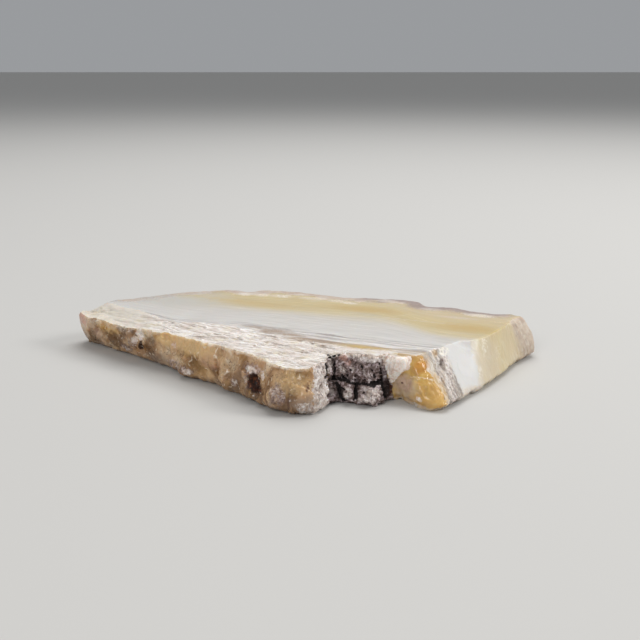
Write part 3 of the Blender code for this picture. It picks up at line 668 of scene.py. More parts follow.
def fineRelief():
    # The second mask is painted shade in creases, between grains, blocks and ribs, and in the crust's pits;
    # the third is painted shade in cracks and pits.
    relief, hollowShade, crackShade = np.zeros(len(places)), np.zeros(len(places)), np.zeros(len(places))

    def only(weight):
        some = np.flatnonzero(weight > 0.01)
        return some, places[some], weight[some]

    # the skin: chips, upright flutes and sharp creases
    chips, shine = chipRelief()
    skinOnly = np.maximum(share["waxy"], 0.7 * share["glassy"]) * nearWall * (1 - 0.8 * patch["drusy"])
    relief += chips * skinOnly
    # painted highlights on the chip rims
    patch["paintedGlint"] = np.maximum(patch["paintedGlint"], 0.9 * shine * skinOnly * (1 - 0.7 * share["glassy"]))

    some, here, weight = only(share["waxy"])
    folded = fadeIn("folds")[some] * smoothstep(-0.3, 0.4, rough(here + 4.0, 3.0))
    fold = np.abs(stretched(here + 2.0, (1.1, 1.1, 2.0), 2))
    relief[some] += weight * (
        fine["flute"] * stretched(here, (1.2, 1.2, 3.6), 2)
        - fine["crease"] * folded * smoothstep(0.12, 0.0, fold)
        + 0.04 * facets(here + 9.0, 1.5) + folded * 0.07 * rough(here, 0.45) + 0.008 * rough(here, 0.25)
    )
    # painted shade in the creases
    hollowShade[some] = np.maximum(hollowShade[some], 0.5 * weight * folded * smoothstep(0.08, 0.0, fold))

    # the druse
    grainy = share["sugary"] + 0.9 * (patch["pale"] + patch["drusy"] + patch["bloom"])
    some, here, weight = only(np.minimum(1, grainy))
    near = grains(here, 0.42)
    relief[some] += weight * (
        fine["sugar"] * (0.5 - near) + 0.05 * rough(here, 0.22) + 0.05 * facets(here, 0.6)
    )
    # painted shade between the grains
    hollowShade[some] = np.maximum(hollowShade[some], 0.6 * weight * smoothstep(0.55, 0.9, near) * (1 - drip[some]))

    # the broken notch
    some, here, weight = only(share["broken"])
    near = grains(here, 0.5)
    relief[some] += weight * (
        fine["block"] * (0.5 - near) + 0.13 * facets(here, 1.0) + 0.06 * rough(here, 0.22)
    )
    # painted shade between the blocks
    hollowShade[some] = np.maximum(hollowShade[some], 0.6 * weight * smoothstep(0.5, 0.8, near))
    # the cracks and pits are cut in, and painted near black as shade
    for line in hairlines:
        gap = distanceToLine(uneven, np.array(line)) + 0.07 * ragged
        cut = smoothstep(0.19, 0.05, gap) * nearWall * (places[:, 0] < 8)
        relief -= fine["hairline"] * cut
        crackShade = np.maximum(crackShade, cut)
    for x, z in pitPlaces:
        gap = np.hypot(uneven[:, 0] - x, uneven[:, 1] - z) + 0.12 * ragged
        cut = smoothstep(0.24, 0.08, gap) * nearWall
        relief -= fine["pit"] * cut
        crackShade = np.maximum(crackShade, cut)

    # the amber and the snow-white facet
    some, here, weight = only(share["glassy"])
    relief[some] += weight * (0.12 * facets(here, 2.2) + 0.015 * rough(here, 0.7))
    relief += fine["seam"] * patch["paintedGlint"] * (places[:, 0] > 9.4) * share["glassy"]
    relief += fine["facet"] * patch["snow"] * facets(places + 17.0, 1.7)

    # the saw cut through the layers
    some, here, weight = only(share["sawn"] * (1 - patch["snow"]) * (everyPlace < bottomStart))
    alongCut = here[:, :2] @ np.array([0.65, 0.76]) + 0.25 * here[:, 2]
    cutPlace = np.column_stack([alongCut, here[:, 2], np.zeros(len(here))])
    fibres = smoothstep(*layering["ribs"], layerPlace[some, 1]) * onWall[some]
    ribs = stretched(layerPlace[some], (3.0, 0.32, 6.0), 2)
    sawMarks = stretched(cutPlace, (0.3, 4.0, 1.0))
    relief[some] += weight * (fine["sawMark"] * sawMarks + fine["layer"] * fibres * ribs)
    # painted shade between the ribs
    hollowShade[some] = np.maximum(hollowShade[some], 0.9 * weight * fibres * smoothstep(0.05, 0.4, -ribs))

    some, here, weight = only((share["sawn"] + share["rind"] + share["glassy"]) * onWall)
    nearFoot = smoothstep(1.1, 0.1, here[:, 2])
    chipped = np.maximum(0.0, 0.3 + rough(here * (1, 1, 0.4) + 41.0, 0.8))
    relief[some] -= weight * fine["chippedFoot"] * nearFoot * chipped

    # the rind, which is calmer on the top
    some, here, weight = only(share["rind"])
    weight = weight * np.where(onTop[some], 0.25, 1.0)
    near = grains(here, 0.9)
    relief[some] += weight * (fine["rindLump"] * (0.5 - near) + 0.04 * rough(here, 0.35))
    # painted shade between the lumps
    hollowShade[some] = np.maximum(hollowShade[some], 0.3 * weight * smoothstep(0.6, 0.95, near))

    # the crust, turned so that its fibres run along the first axis
    some, here, weight = only(share["crust"])
    slope = fine["strokeSlope"]
    x, y = here[:, 0], here[:, 1]
    flat = np.column_stack([x - slope * y, y + slope * x, 0 * x]) / math.hypot(1, slope)
    flat[:, 1] += 0.6 * rough(here + 37.0, 4.0, 2)
    calm = smoothstep(0.3, -0.25, rough(here + 43.0, 3.0))
    splintered = weight * (0.06 + 0.94 * rugged[some]) * (1 - 0.6 * calm)
    stroke, thin = stretched(flat, (3.4, 0.42, 1.0)), stretched(flat + 7.0, (1.8, 0.20, 1.0))
    flake = facets(flat / np.array([1.8, 0.8, 1.0]), 1.0)
    pits = stretched(flat + 29.0, (1.2, 0.3, 1.0), 2) + 0.35 * rough(here + 3.0, 1.6)
    pits = smoothstep(0.25, 0.60, pits)
    crumb = rough(here + 13.0, 0.3)
    relief[some] += splintered * (
        fine["stroke"] * (0.3 - 2 * np.abs(stroke)) + fine["flake"] * flake + 0.06 * thin + 0.04 * crumb
        - 0.10 * pits + 0.08 * rough(here + 19.0, 1.3)
    )
    relief[some] += weight * (1 - rugged[some]) * 0.10 * rough(here + 19.0, 1.5)
    gaps = smoothstep(0.25, 0.6, np.abs(stroke) - 0.2 * thin)
    # painted shade in the pits and in the gaps between fibres
    hollowShade[some] = np.maximum(hollowShade[some], splintered * np.maximum(0.6 * pits, 0.5 * gaps))
    return relief, np.maximum(hollowShade, 0.0), crackShade


relief, hollowShade, crackShade = fineRelief()


def makeMesh():
    mesh = bpy.data.meshes.new("opalSlice")
    centre = np.array([*slab["drawingCentre"], 0.0])
    mesh.from_pydata((places - centre) * mm, [], faces)
    mesh.update()
    normals = np.empty(len(places) * 3)
    mesh.vertex_normals.foreach_get("vector", normals)
    moved = places + normals.reshape(-1, 3) * relief[:, None]
    moved[:, 2] = np.clip(moved[:, 2], 0.0, slab["thickness"])
    moved[rowOf == rings.shape[0] - 1, 2] = 0.0
    moved[bottomStart:] = places[bottomStart:]
    final = (moved - centre) * mm
    final[:, 0] = np.clip(final[:, 0], cadBox[0][0], cadBox[1][0])
    final[:, 1] = np.clip(final[:, 1], cadBox[0][1], cadBox[1][1])
    mesh.vertices.foreach_set("co", final.ravel())
    mesh.update()
    single = {**share, **patch, "hollowShade": hollowShade, "crackShade": crackShade, "down": down, "rugged": rugged}
    for name, values in single.items():
        mesh.attributes.new(name, "FLOAT", "POINT").data.foreach_set("value", values.astype(np.float32))
    mesh.attributes.new("layerPlace", "FLOAT_VECTOR", "POINT").data.foreach_set(
        "vector", layerPlace.astype(np.float32).ravel()
    )
    mesh.shade_smooth()
    mesh.set_sharp_from_angle(angle=math.radians(slab["sharpAngle"]))
    piece = bpy.data.objects.new("opalSlice", mesh)
    bpy.context.scene.collection.objects.link(piece)
    return piece


opalSlice = makeMesh()


def toLinear(hexColour):
    channels = [int(hexColour[i:i + 2], 16) / 255 for i in (1, 3, 5)]
    return [c / 12.92 if c <= 0.04045 else ((c + 0.055) / 1.055) ** 2.4 for c in channels] + [1.0]


# Adds a node and returns one of its outputs, the first if none is named. The inputs go in their order or by
# name, and each is another node's output, a number, a vector or a hex colour.
def addNode(tree, kind, inputs=(), output=None, stops=(), **settings):
    node = tree.nodes.new("ShaderNode" + kind)
    for name, value in settings.items():
        setattr(node, name, value)
    for position, colour in stops[2:]:
        node.color_ramp.elements.new(position)
    for i, (position, colour) in enumerate(stops):
        element = node.color_ramp.elements[i]
        element.position, element.color = position, toLinear(colour)
    if not isinstance(inputs, dict):
        enabled = [number for number, socket in enumerate(node.inputs) if socket.enabled]
        inputs = dict(zip(enabled, inputs))
    for key, value in inputs.items():
        if isinstance(value, bpy.types.NodeSocket):
            tree.links.new(value, node.inputs[key])
        else:
            node.inputs[key].default_value = toLinear(value) if isinstance(value, str) else value
    first = next((socket for socket in node.outputs if socket.enabled), None)
    return node.outputs[output] if output else first


def perMetre(size):  # a texture scale that gives patterns of that size in millimetres
    return 1 / (size * mm)


# Noise drawn out to the given sizes, in the units of place.
def stretchedNoise(tree, place, sizes, detail=4.0, roughness=0.6, distortion=0.2):
    scaled = addNode(tree, "VectorMath", (place, tuple(sizes)), operation="DIVIDE")
    return addNode(tree, "TexNoise", {
        "Vector": scaled, "Scale": 1.0, "Detail": detail, "Roughness": roughness, "Distortion": distortion
    })


# Common opal, sawn and polished: milky layers with long thin streaks, and a soft glassy shine.
polishedOpal = {
    # the colour of each layer, by the layer coordinate in millimetres
    "layers": [
        (5.0, "#C29A58"), (8.2, "#C8A468"), (8.7, "#DED4CB"), (9.35, "#CDBCA6"), (9.8, "#A8957F"),
        (10.2, "#CFC4BA"), (10.6, "#EFEAE5"), (11.2, "#E6E0D9"), (11.7, "#C6BDB6"), (12.05, "#F0ECE7"),
        (12.45, "#A79E98"), (12.8, "#D0CAC4"), (13.3, "#D7D3CD"), (15.5, "#D6D1CB"), (18.3, "#D4CEC5"),
        (19.8, "#D3C8B4"), (21.0, "#D3C4A0"), (23.5, "#CFBA88"), (26.5, "#D3BF8E"), (30.0, "#D2BE96"),
        (36.0, "#D4C2A3"),
    ],
    # the length of each pattern along the layers, across them and down
    "bend": (12.0, 3.0, 12.0), "ripple": (3.4, 0.7, 5.0), "streak": (6.0, 0.45, 6.0),
    "line": (7.0, 0.16, 7.0), "veil": (7.0, 2.2, 7.0),
    "scratch": (6.0, 0.5, 9.0), "scratchTurn": -30,
    "streakColour": "#786C65", "lineColour": "#F6F3EE", "veilColour": "#BDB5AA",
    "bendReach": 1.6, "rippleRange": (0.3, 0.7, -0.5, 0.5),
    # each range: the noise where it starts and where it ends, and its strength at both
    "faintStreak": (0.60, 0.35, 0.0, 0.12), "strongStreak": (0.54, 0.38, 0.0, 0.58),
    "lineRange": (0.52, 0.66, 0.0, 0.85), "farLines": (0.0, 1.0, 0.12, 1.0),
    "scratchRange": (0.58, 0.78, 0.0, 0.18), "veilRange": (0.55, 0.75, 0.0, 0.25),
    "fibreEnd": 13.4,      # the streaks are strong up to this layer coordinate, and faint beyond
    "roughness": (0.11, 0.25), "scatter": 0.3,
}


def opalLook(tree, objectPlace):  # colour and roughness
    values = polishedOpal
    place = addNode(tree, "Attribute", output="Vector", attribute_name="layerPlace")
    level = addNode(tree, "SeparateXYZ", (place,), "Y")
    bend = stretchedNoise(tree, place, values["bend"], 3.0)
    ripple = stretchedNoise(tree, place, values["ripple"], 3.0)
    reach = values["bendReach"]
    bent = addNode(tree, "Math", (bend, reach, -reach / 2), operation="MULTIPLY_ADD")
    bent = addNode(tree, "Math", (level, bent), operation="ADD")
    fibrous = addNode(tree, "MapRange", (level, values["fibreEnd"] + 0.8, values["fibreEnd"] - 0.6))
    rippled = addNode(tree, "MapRange", (ripple, *values["rippleRange"]))
    rippled = addNode(tree, "Math", (rippled, fibrous), operation="MULTIPLY")
    across = addNode(tree, "Math", (bent, rippled), operation="ADD")
    lowest, highest = values["layers"][0][0], values["layers"][-1][0]
    stops = [((layer - lowest) / (highest - lowest), colour) for layer, colour in values["layers"]]
    shade = addNode(tree, "MapRange", (across, lowest, highest))
    colour = addNode(tree, "ValToRGB", (shade,), stops=stops)

    streak = stretchedNoise(tree, place, values["streak"], 5.0)
    faint = addNode(tree, "MapRange", (streak, *values["faintStreak"]))
    strong = addNode(tree, "MapRange", (streak, *values["strongStreak"]))
    strong = addNode(tree, "Math", (strong, fibrous), operation="MULTIPLY")
    streaks = addNode(tree, "Math", (faint, strong), operation="MAXIMUM")
    line = stretchedNoise(tree, place, values["line"], 3.0)
    line = addNode(tree, "MapRange", (line, *values["lineRange"]))
    lineStrength = addNode(tree, "MapRange", (fibrous, *values["farLines"]))
    lines = addNode(tree, "Math", (line, lineStrength), operation="MULTIPLY")
    turned = addNode(
        tree, "VectorRotate", {"Vector": objectPlace, "Angle": math.radians(values["scratchTurn"])},
        rotation_type="Z_AXIS",
    )
    scratch = stretchedNoise(tree, turned, [size * mm for size in values["scratch"]])
    scratches = addNode(tree, "MapRange", (scratch, *values["scratchRange"]))
    veil = stretchedNoise(tree, place, values["veil"])
    veils = addNode(tree, "MapRange", (veil, *values["veilRange"]))
    for weight, over in ((streaks, "streakColour"), (lines, "lineColour"), (scratches, "lineColour"),
                         (veils, "veilColour")):
        colour = addNode(tree, "Mix", (weight, colour, values[over]), data_type="RGBA")
    return colour, addNode(tree, "MapRange", (streak, 0.3, 0.7, *values["roughness"]))


# Saw-cut opal, not polished: the same layers under fine upright saw marks, with a satin sheen.
sawnOpal = {
    "markSizes": (0.22, 2.2, 1.0), "markColour": "#EFE6D2", "markRange": (0.50, 0.72, 0.12, 0.42),
    "cutDirection": (0.65, 0.76, 0.25), "markHeight": 0.15, "roughness": 0.38,
}


def sawnLook(tree, objectPlace, opal):  # this and the looks below: colour, roughness and height
    alongCut = addNode(tree, "VectorMath", (objectPlace, sawnOpal["cutDirection"]), operation="DOT_PRODUCT")
    up = addNode(tree, "SeparateXYZ", (objectPlace,), "Z")
    place = addNode(tree, "CombineXYZ", (alongCut, up))
    marks = stretchedNoise(tree, place, [size * mm for size in sawnOpal["markSizes"]], 3.0, 0.5, 0.1)
    weight = addNode(tree, "MapRange", (marks, *sawnOpal["markRange"]))
    colour = addNode(tree, "Mix", (weight, opal, sawnOpal["markColour"]), data_type="RGBA")
    height = addNode(tree, "Math", (marks, sawnOpal["markHeight"]), operation="MULTIPLY")
    return colour, sawnOpal["roughness"], height


# Chalky opal crust, splintered and unpolished: matt white flakes with brown grit between them.
chalkyCrust = {
    "stops": [(0.0, "#94847A"), (0.25, "#BBADA1"), (0.5, "#D3C9BF"), (0.75, "#E4DCD5"), (1.0, "#F6F1EC")],
    "stroke": (3.2, 0.26, 2.0), "thread": (2.2, 0.13, 1.5), "grit": (0.8, 0.14, 0.5), "drift": 4.0,
    "wander": 1.2, "cloud": 1.6, "gritColour": "#8F7E74", "smooth": "#CFC7B9", "blush": "#D9C6BB",
    "straw": "#DACBA9", "roughness": 0.6,
    "shade": (0.36, 0.58), "gritRange": (0.45, 0.33, 0.0, 0.7), "gritCloud": (0.44, 0.58, 0.1, 1.0),
    "smoothRange": (0.0, 1.0, 0.9, 0.0), "blushRange": (0.52, 0.68, 0.0, 0.5),
    "strawRange": (0.45, 0.32, 0.0, 0.45),
}


def crustLook(tree, objectPlace):
    values = chalkyCrust
    turned = addNode(
        tree, "VectorRotate", {"Vector": objectPlace, "Angle": math.atan(fine["strokeSlope"])},
        rotation_type="Z_AXIS",
    )
    drift = addNode(tree, "TexNoise", {
        "Vector": objectPlace, "Scale": perMetre(values["drift"]), "Detail": 3.0
    }, "Color")
    reach = (values["wander"] * mm,) * 3
    wander = addNode(tree, "VectorMath", (drift, reach, turned), operation="MULTIPLY_ADD")
    stroke = stretchedNoise(tree, wander, [size * mm for size in values["stroke"]], 4.0, 0.6, 0.3)
    thread = stretchedNoise(tree, wander, [size * mm for size in values["thread"]], 3.0)
    grit = stretchedNoise(tree, wander, [size * mm for size in values["grit"]], 3.0, 0.6, 0.4)
    cloud = addNode(tree, "TexNoise", {
        "Vector": objectPlace, "Scale": perMetre(values["cloud"]), "Detail": 4.0
    })
    rugged = addNode(tree, "Attribute", output="Fac", attribute_name="rugged")
    halfStroke = addNode(tree, "Math", (stroke, 0.5), operation="MULTIPLY")
    halfThread = addNode(tree, "Math", (thread, 0.5), operation="MULTIPLY")
    fibres = addNode(tree, "Math", (halfStroke, halfThread), operation="ADD")
    shade = addNode(tree, "MapRange", (fibres, *values["shade"]))
    colour = addNode(tree, "ValToRGB", (shade,), stops=values["stops"])
    grit = addNode(tree, "MapRange", (grit, *values["gritRange"]))
    gritty = addNode(tree, "MapRange", (cloud, *values["gritCloud"]))
    grit = addNode(tree, "Math", (grit, gritty), operation="MULTIPLY")
    smooth = addNode(tree, "MapRange", (rugged, *values["smoothRange"]))
    blush = addNode(tree, "MapRange", (cloud, *values["blushRange"]))
    straw = addNode(tree, "MapRange", (cloud, *values["strawRange"]))
    for weight, over in ((grit, "gritColour"), (smooth, "smooth"), (blush, "blush"), (straw, "straw")):
        colour = addNode(tree, "Mix", (weight, colour, values[over]), data_type="RGBA")
    return colour, values["roughness"], addNode(tree, "Math", (fibres, rugged), operation="MULTIPLY")


# Chalcedony skin, natural: waxy and faintly translucent, in soft clouds of tan and honey with brown grit, and
# painted shade towards the foot.
waxyChalcedony = {
    "stops": [(0.0, "#6B492B"), (0.3, "#9C764F"), (0.55, "#BF9A74"), (0.8, "#D1B28D"), (1.0, "#E0C9AA")],
    "cloud": 3.4, "wisp": (1.4, 1.4, 1.8), "honeyCloud": 2.2, "grit": 0.14, "gritCloud": 1.5,
    "footColour": "#94806A", "gritColour": "#5A371E", "honeyColour": "#BB9152", "roughness": 0.16,
    "shade": (0.36, 0.61), "footShade": (0.1, 1.0, -0.02, 0.08), "honeyRange": (0.50, 0.68, 0.0, 0.4),
    "footRange": (0.62, 0.95), "footCloud": (0.35, 0.6, 0.7, 0.1), "gritRange": (0.51, 0.63, 0.0, 0.8),
    "grittyRange": (0.46, 0.58), "gritHeight": -0.5,
}


def waxyLook(tree, objectPlace, downShare):
    values = waxyChalcedony
    wisp = stretchedNoise(tree, objectPlace, [size * mm for size in values["wisp"]], 3.0, 0.5, 0.8)
    cloud, honeyCloud, grit, gritCloud = [
        addNode(tree, "TexNoise", {
            "Vector": objectPlace, "Scale": perMetre(values[name]), "Detail": 3.0, "Distortion": 0.5
        })
        for name in ("cloud", "honeyCloud", "grit", "gritCloud")
    ]
    wispPart = addNode(tree, "Math", (wisp, 0.3), operation="MULTIPLY")
    cloudPart = addNode(tree, "Math", (cloud, 0.7), operation="MULTIPLY")
    both = addNode(tree, "Math", (wispPart, cloudPart), operation="ADD")
    # painted shade: the skin darkens towards the foot
    footShade = addNode(tree, "MapRange", (downShare, *values["footShade"]))
    both = addNode(tree, "Math", (both, footShade), operation="SUBTRACT")
    shade = addNode(tree, "MapRange", (both, *values["shade"]))
    colour = addNode(tree, "ValToRGB", (shade,), stops=values["stops"])
    honey = addNode(tree, "MapRange", (honeyCloud, *values["honeyRange"]))
    low = addNode(tree, "MapRange", (downShare, *values["footRange"]))
    clear = addNode(tree, "MapRange", (cloud, *values["footCloud"]))
    foot = addNode(tree, "Math", (low, clear), operation="MULTIPLY")
    rugged = addNode(tree, "Attribute", output="Fac", attribute_name="rugged")
    grit = addNode(tree, "MapRange", (grit, *values["gritRange"]))
    gritty = addNode(tree, "MapRange", (gritCloud, *values["grittyRange"]))
    grit = addNode(tree, "Math", (grit, gritty), operation="MULTIPLY")
    ruggedGrit = addNode(tree, "Math", (grit, rugged), operation="MULTIPLY")
    for weight, over in ((honey, "honeyColour"), (foot, "footColour"), (ruggedGrit, "gritColour")):
        colour = addNode(tree, "Mix", (weight, colour, values[over]), data_type="RGBA")
    height = addNode(tree, "Math", (grit, values["gritHeight"]), operation="MULTIPLY")
    return colour, values["roughness"], height


# Quartz druse, natural: sugary pinkish white grains that sparkle a little.
sugaryQuartz = {
    "stops": [(0.0, "#8A7A73"), (0.25, "#C2B3AA"), (0.6, "#E2D6CF"), (1.0, "#FBF7F3")],
    "grain": 0.24, "roughness": 0.42,
}
# Druse on the waxy skin, natural: small rosy grey crystals, with painted shade between them.
smallDruse = {
    "stops": [(0.0, "#523C35"), (0.35, "#866F68"), (0.7, "#B19A92"), (1.0, "#E8DAD3")],
    "grain": 0.2, "roughness": 0.35,
}
# The drip beside the notch, natural: the same druse, denser, cream to white.
denseDruse = {
    "stops": [(0.0, "#DAC3B3"), (0.35, "#EFDDCF"), (0.7, "#F8EDE3"), (1.0, "#FFFCF7")],
    "grain": 0.22, "roughness": 0.4,
}
# Iron-stained matrix in the notch, broken: grey purple blocks with dusty pink faces.
brokenMatrix = {
    "stops": [(0.0, "#2C1C18"), (0.3, "#5E4A44"), (0.55, "#7F6C66"), (0.8, "#A9979A"), (1.0, "#E4D8D6")],
    "grain": 0.22, "roughness": 0.5,
}
# Botryoidal rind, natural: dull cream lumps, stained tan towards the foot.
outerRind = {
    "stops": [(0.0, "#BBA696"), (0.4, "#C6B4A2"), (0.75, "#CDBEAD"), (1.0, "#D8CCBD")],
    "grain": 0.5, "roughness": 0.55, "stain": "#A5876A", "stainCloud": 4.5,
    "lower": (0.0, 1.0, -0.08, 0.10), "stainRange": (0.50, 0.72, 0.0, 0.6), "lumpHeight": 0.7,
}
grainShades = {"ownPart": 0.28, "shade": (0.42, 0.86)}


def grainyLook(tree, objectPlace, values):  # every grain has its own shade
    size = perMetre(values["grain"])
    grain = addNode(tree, "TexVoronoi", {"Vector": objectPlace, "Scale": size}, "Color")
    own = addNode(tree, "SeparateColor", (grain,))
    ownPart = addNode(tree, "Math", (own, grainShades["ownPart"]), operation="MULTIPLY")
    cloud = addNode(tree, "TexNoise", {
        "Vector": objectPlace, "Scale": perMetre(values["grain"] * 4), "Detail": 6.0, "Roughness": 0.65
    })
    both = addNode(tree, "Math", (ownPart, cloud), operation="ADD")
    shade = addNode(tree, "MapRange", (both, *grainShades["shade"]))
    return addNode(tree, "ValToRGB", (shade,), stops=values["stops"]), values["roughness"], own


def rindLook(tree, objectPlace, downShare):
    colour, roughness, height = grainyLook(tree, objectPlace, outerRind)
    cloud = addNode(
        tree, "TexNoise", {"Vector": objectPlace, "Scale": perMetre(outerRind["stainCloud"]), "Detail": 5.0}
    )
    lower = addNode(tree, "MapRange", (downShare, *outerRind["lower"]))
    stained = addNode(tree, "Math", (cloud, lower), operation="ADD")
    weight = addNode(tree, "MapRange", (stained, *outerRind["stainRange"]))
    colour = addNode(tree, "Mix", (weight, colour, outerRind["stain"]), data_type="RGBA")
    height = addNode(tree, "Math", (height, outerRind["lumpHeight"]), operation="MULTIPLY")
    return colour, roughness, height


# Amber opal, broken: clear honey yellow to smoky brown, with a wet shine.
amberOpal = {
    "stops": [(0.0, "#A68252"), (0.35, "#C0965B"), (0.65, "#D0A75B"), (1.0, "#DDBC79")],
    "cloud": 1.8, "shade": (0.35, 0.65), "roughness": 0.14,
}


def amberLook(tree, objectPlace):
    cloud = addNode(tree, "TexNoise", {
        "Vector": objectPlace, "Scale": perMetre(amberOpal["cloud"]), "Detail": 5.0, "Distortion": 0.8
    })
    shade = addNode(tree, "MapRange", (cloud, *amberOpal["shade"]))
    return addNode(tree, "ValToRGB", (shade,), stops=amberOpal["stops"]), amberOpal["roughness"], cloud


# How each finish lies over the ones before it: its attribute, where its edge starts and ends, how ragged that
# edge is, the most it covers, and how much light scatters in it.
finishRows = {
    "sawn": (0.40, 0.60, 0.2, 1.0, 0.30),
    "waxy": (0.24, 0.36, 0.3, 1.0, 0.40),
    "glassy": (0.30, 0.45, 0.3, 1.0, 0.50),
    "rind": (0.15, 0.75, 0.6, 1.0, 0.25),
    "crust": (0.35, 0.60, 0.8, 1.0, 0.15),
    "lip": (0.10, 1.0, 1.2, 0.75, 0.35),
    "sugary": (0.42, 0.55, 0.5, 1.0, 0.15),
    "broken": (0.40, 0.55, 0.5, 1.0, 0.02),
    "golden": (0.0, 1.0, 0.3, 0.8, 0.40),
    "honey": (0.0, 1.0, 0.2, 0.8, 0.40),
    "straw": (0.0, 1.0, 0.5, 0.8, 0.40),
    "smoky": (0.0, 1.0, 0.3, 0.8, 0.35),
    "haze": (0.0, 1.0, 0.3, 0.75, 0.35),
    "milk": (0.0, 1.0, 0.1, 0.9, 0.30),
    "farRimShade": (0.0, 1.0, 0.6, 0.92, 0.20),
    "chalk": (0.15, 1.0, 0.8, 0.75, 0.30),
    "drusy": (0.10, 1.0, 1.4, 0.85, 0.15),
    "pale": (0.30, 0.85, 1.2, 0.85, 0.15),
    "drip": (0.40, 0.60, 0.5, 0.95, 0.20),
    "bloom": (0.20, 0.85, 1.4, 0.9, 0.15),
    "rosy": (0.1, 0.9, 1.2, 0.8, 0.25),
    "umber": (0.0, 1.0, 0.5, 0.8, 0.30),
    "brown": (0.25, 0.75, 1.0, 0.97, 0.02),
    "cleftShade": (0.20, 0.85, 1.4, 0.85, 0.0),
    "orange": (0.0, 1.0, 0.4, 0.9, 0.40),
    "snow": (0.30, 0.75, 1.0, 0.92, 0.30),
    "frost": (0.30, 1.0, 1.8, 0.8, 0.10),
    "paintedGlint": (0.15, 0.75, 0.8, 0.85, 0.10),
    "crackShade": (0.25, 0.60, 0.5, 0.96, 0.0),
}
patchFinishes = {  # colour and roughness
    "lip": ("#EFE4D3", 0.30), "golden": ("#CDA563", 0.20), "honey": ("#C8AA6C", 0.15),
    # the mauve grey on the next line is painted shade along the far rim
    "smoky": ("#A08873", 0.25), "haze": ("#D6C8B8", 0.25), "farRimShade": ("#97857F", 0.4),
    "chalk": ("#EADFCF", 0.3), "rosy": ("#D0A08F", 0.35), "orange": ("#C8842C", 0.12),
    "snow": ("#D6D4D1", 0.42), "umber": ("#5A3815", 0.2), "straw": ("#E4C291", 0.2),
    # the near black colour on the next line is painted shade in the notch's clefts
    "milk": ("#C8C4BC", 0.15), "cleftShade": ("#261B19", 0.8), "frost": ("#F6F0E2", 0.35),
    # the bright cream colour on the next line is a painted highlight, the near black one painted shade
    "paintedGlint": ("#F7E9D2", 0.12), "crackShade": ("#1A1210", 0.9),
}
# Iron stain in the hollows: dark red brown, with lighter crumbs.
ironStain = {
    "stops": [(0.0, "#140502"), (0.5, "#361406"), (0.8, "#5E2C10"), (1.0, "#935E3C")],
    "crumbs": (0.36, 0.70), "roughness": 0.55,
}
# What all the finishes share: painted shade in the hollows, uneven shine, low bumps, warm light under the
# surface.
wholeSurface = {
    "hollowShadeColour": "#8C7D76", "hollowShadeStrength": 0.7, "speckle": 0.3, "speckleRange": (0.32, 0.68),
    "dust": 0.12, "dustHeight": 0.08, "unevenShine": (0.3, 0.7, 0.8, 1.25), "bumpStrength": 0.55,
    "bumpDistance": 0.10, "scatterColour": (1.0, 0.7, 0.45), "scatterDistance": 0.9,
    "refraction": 1.45,    # typical for common opal
}


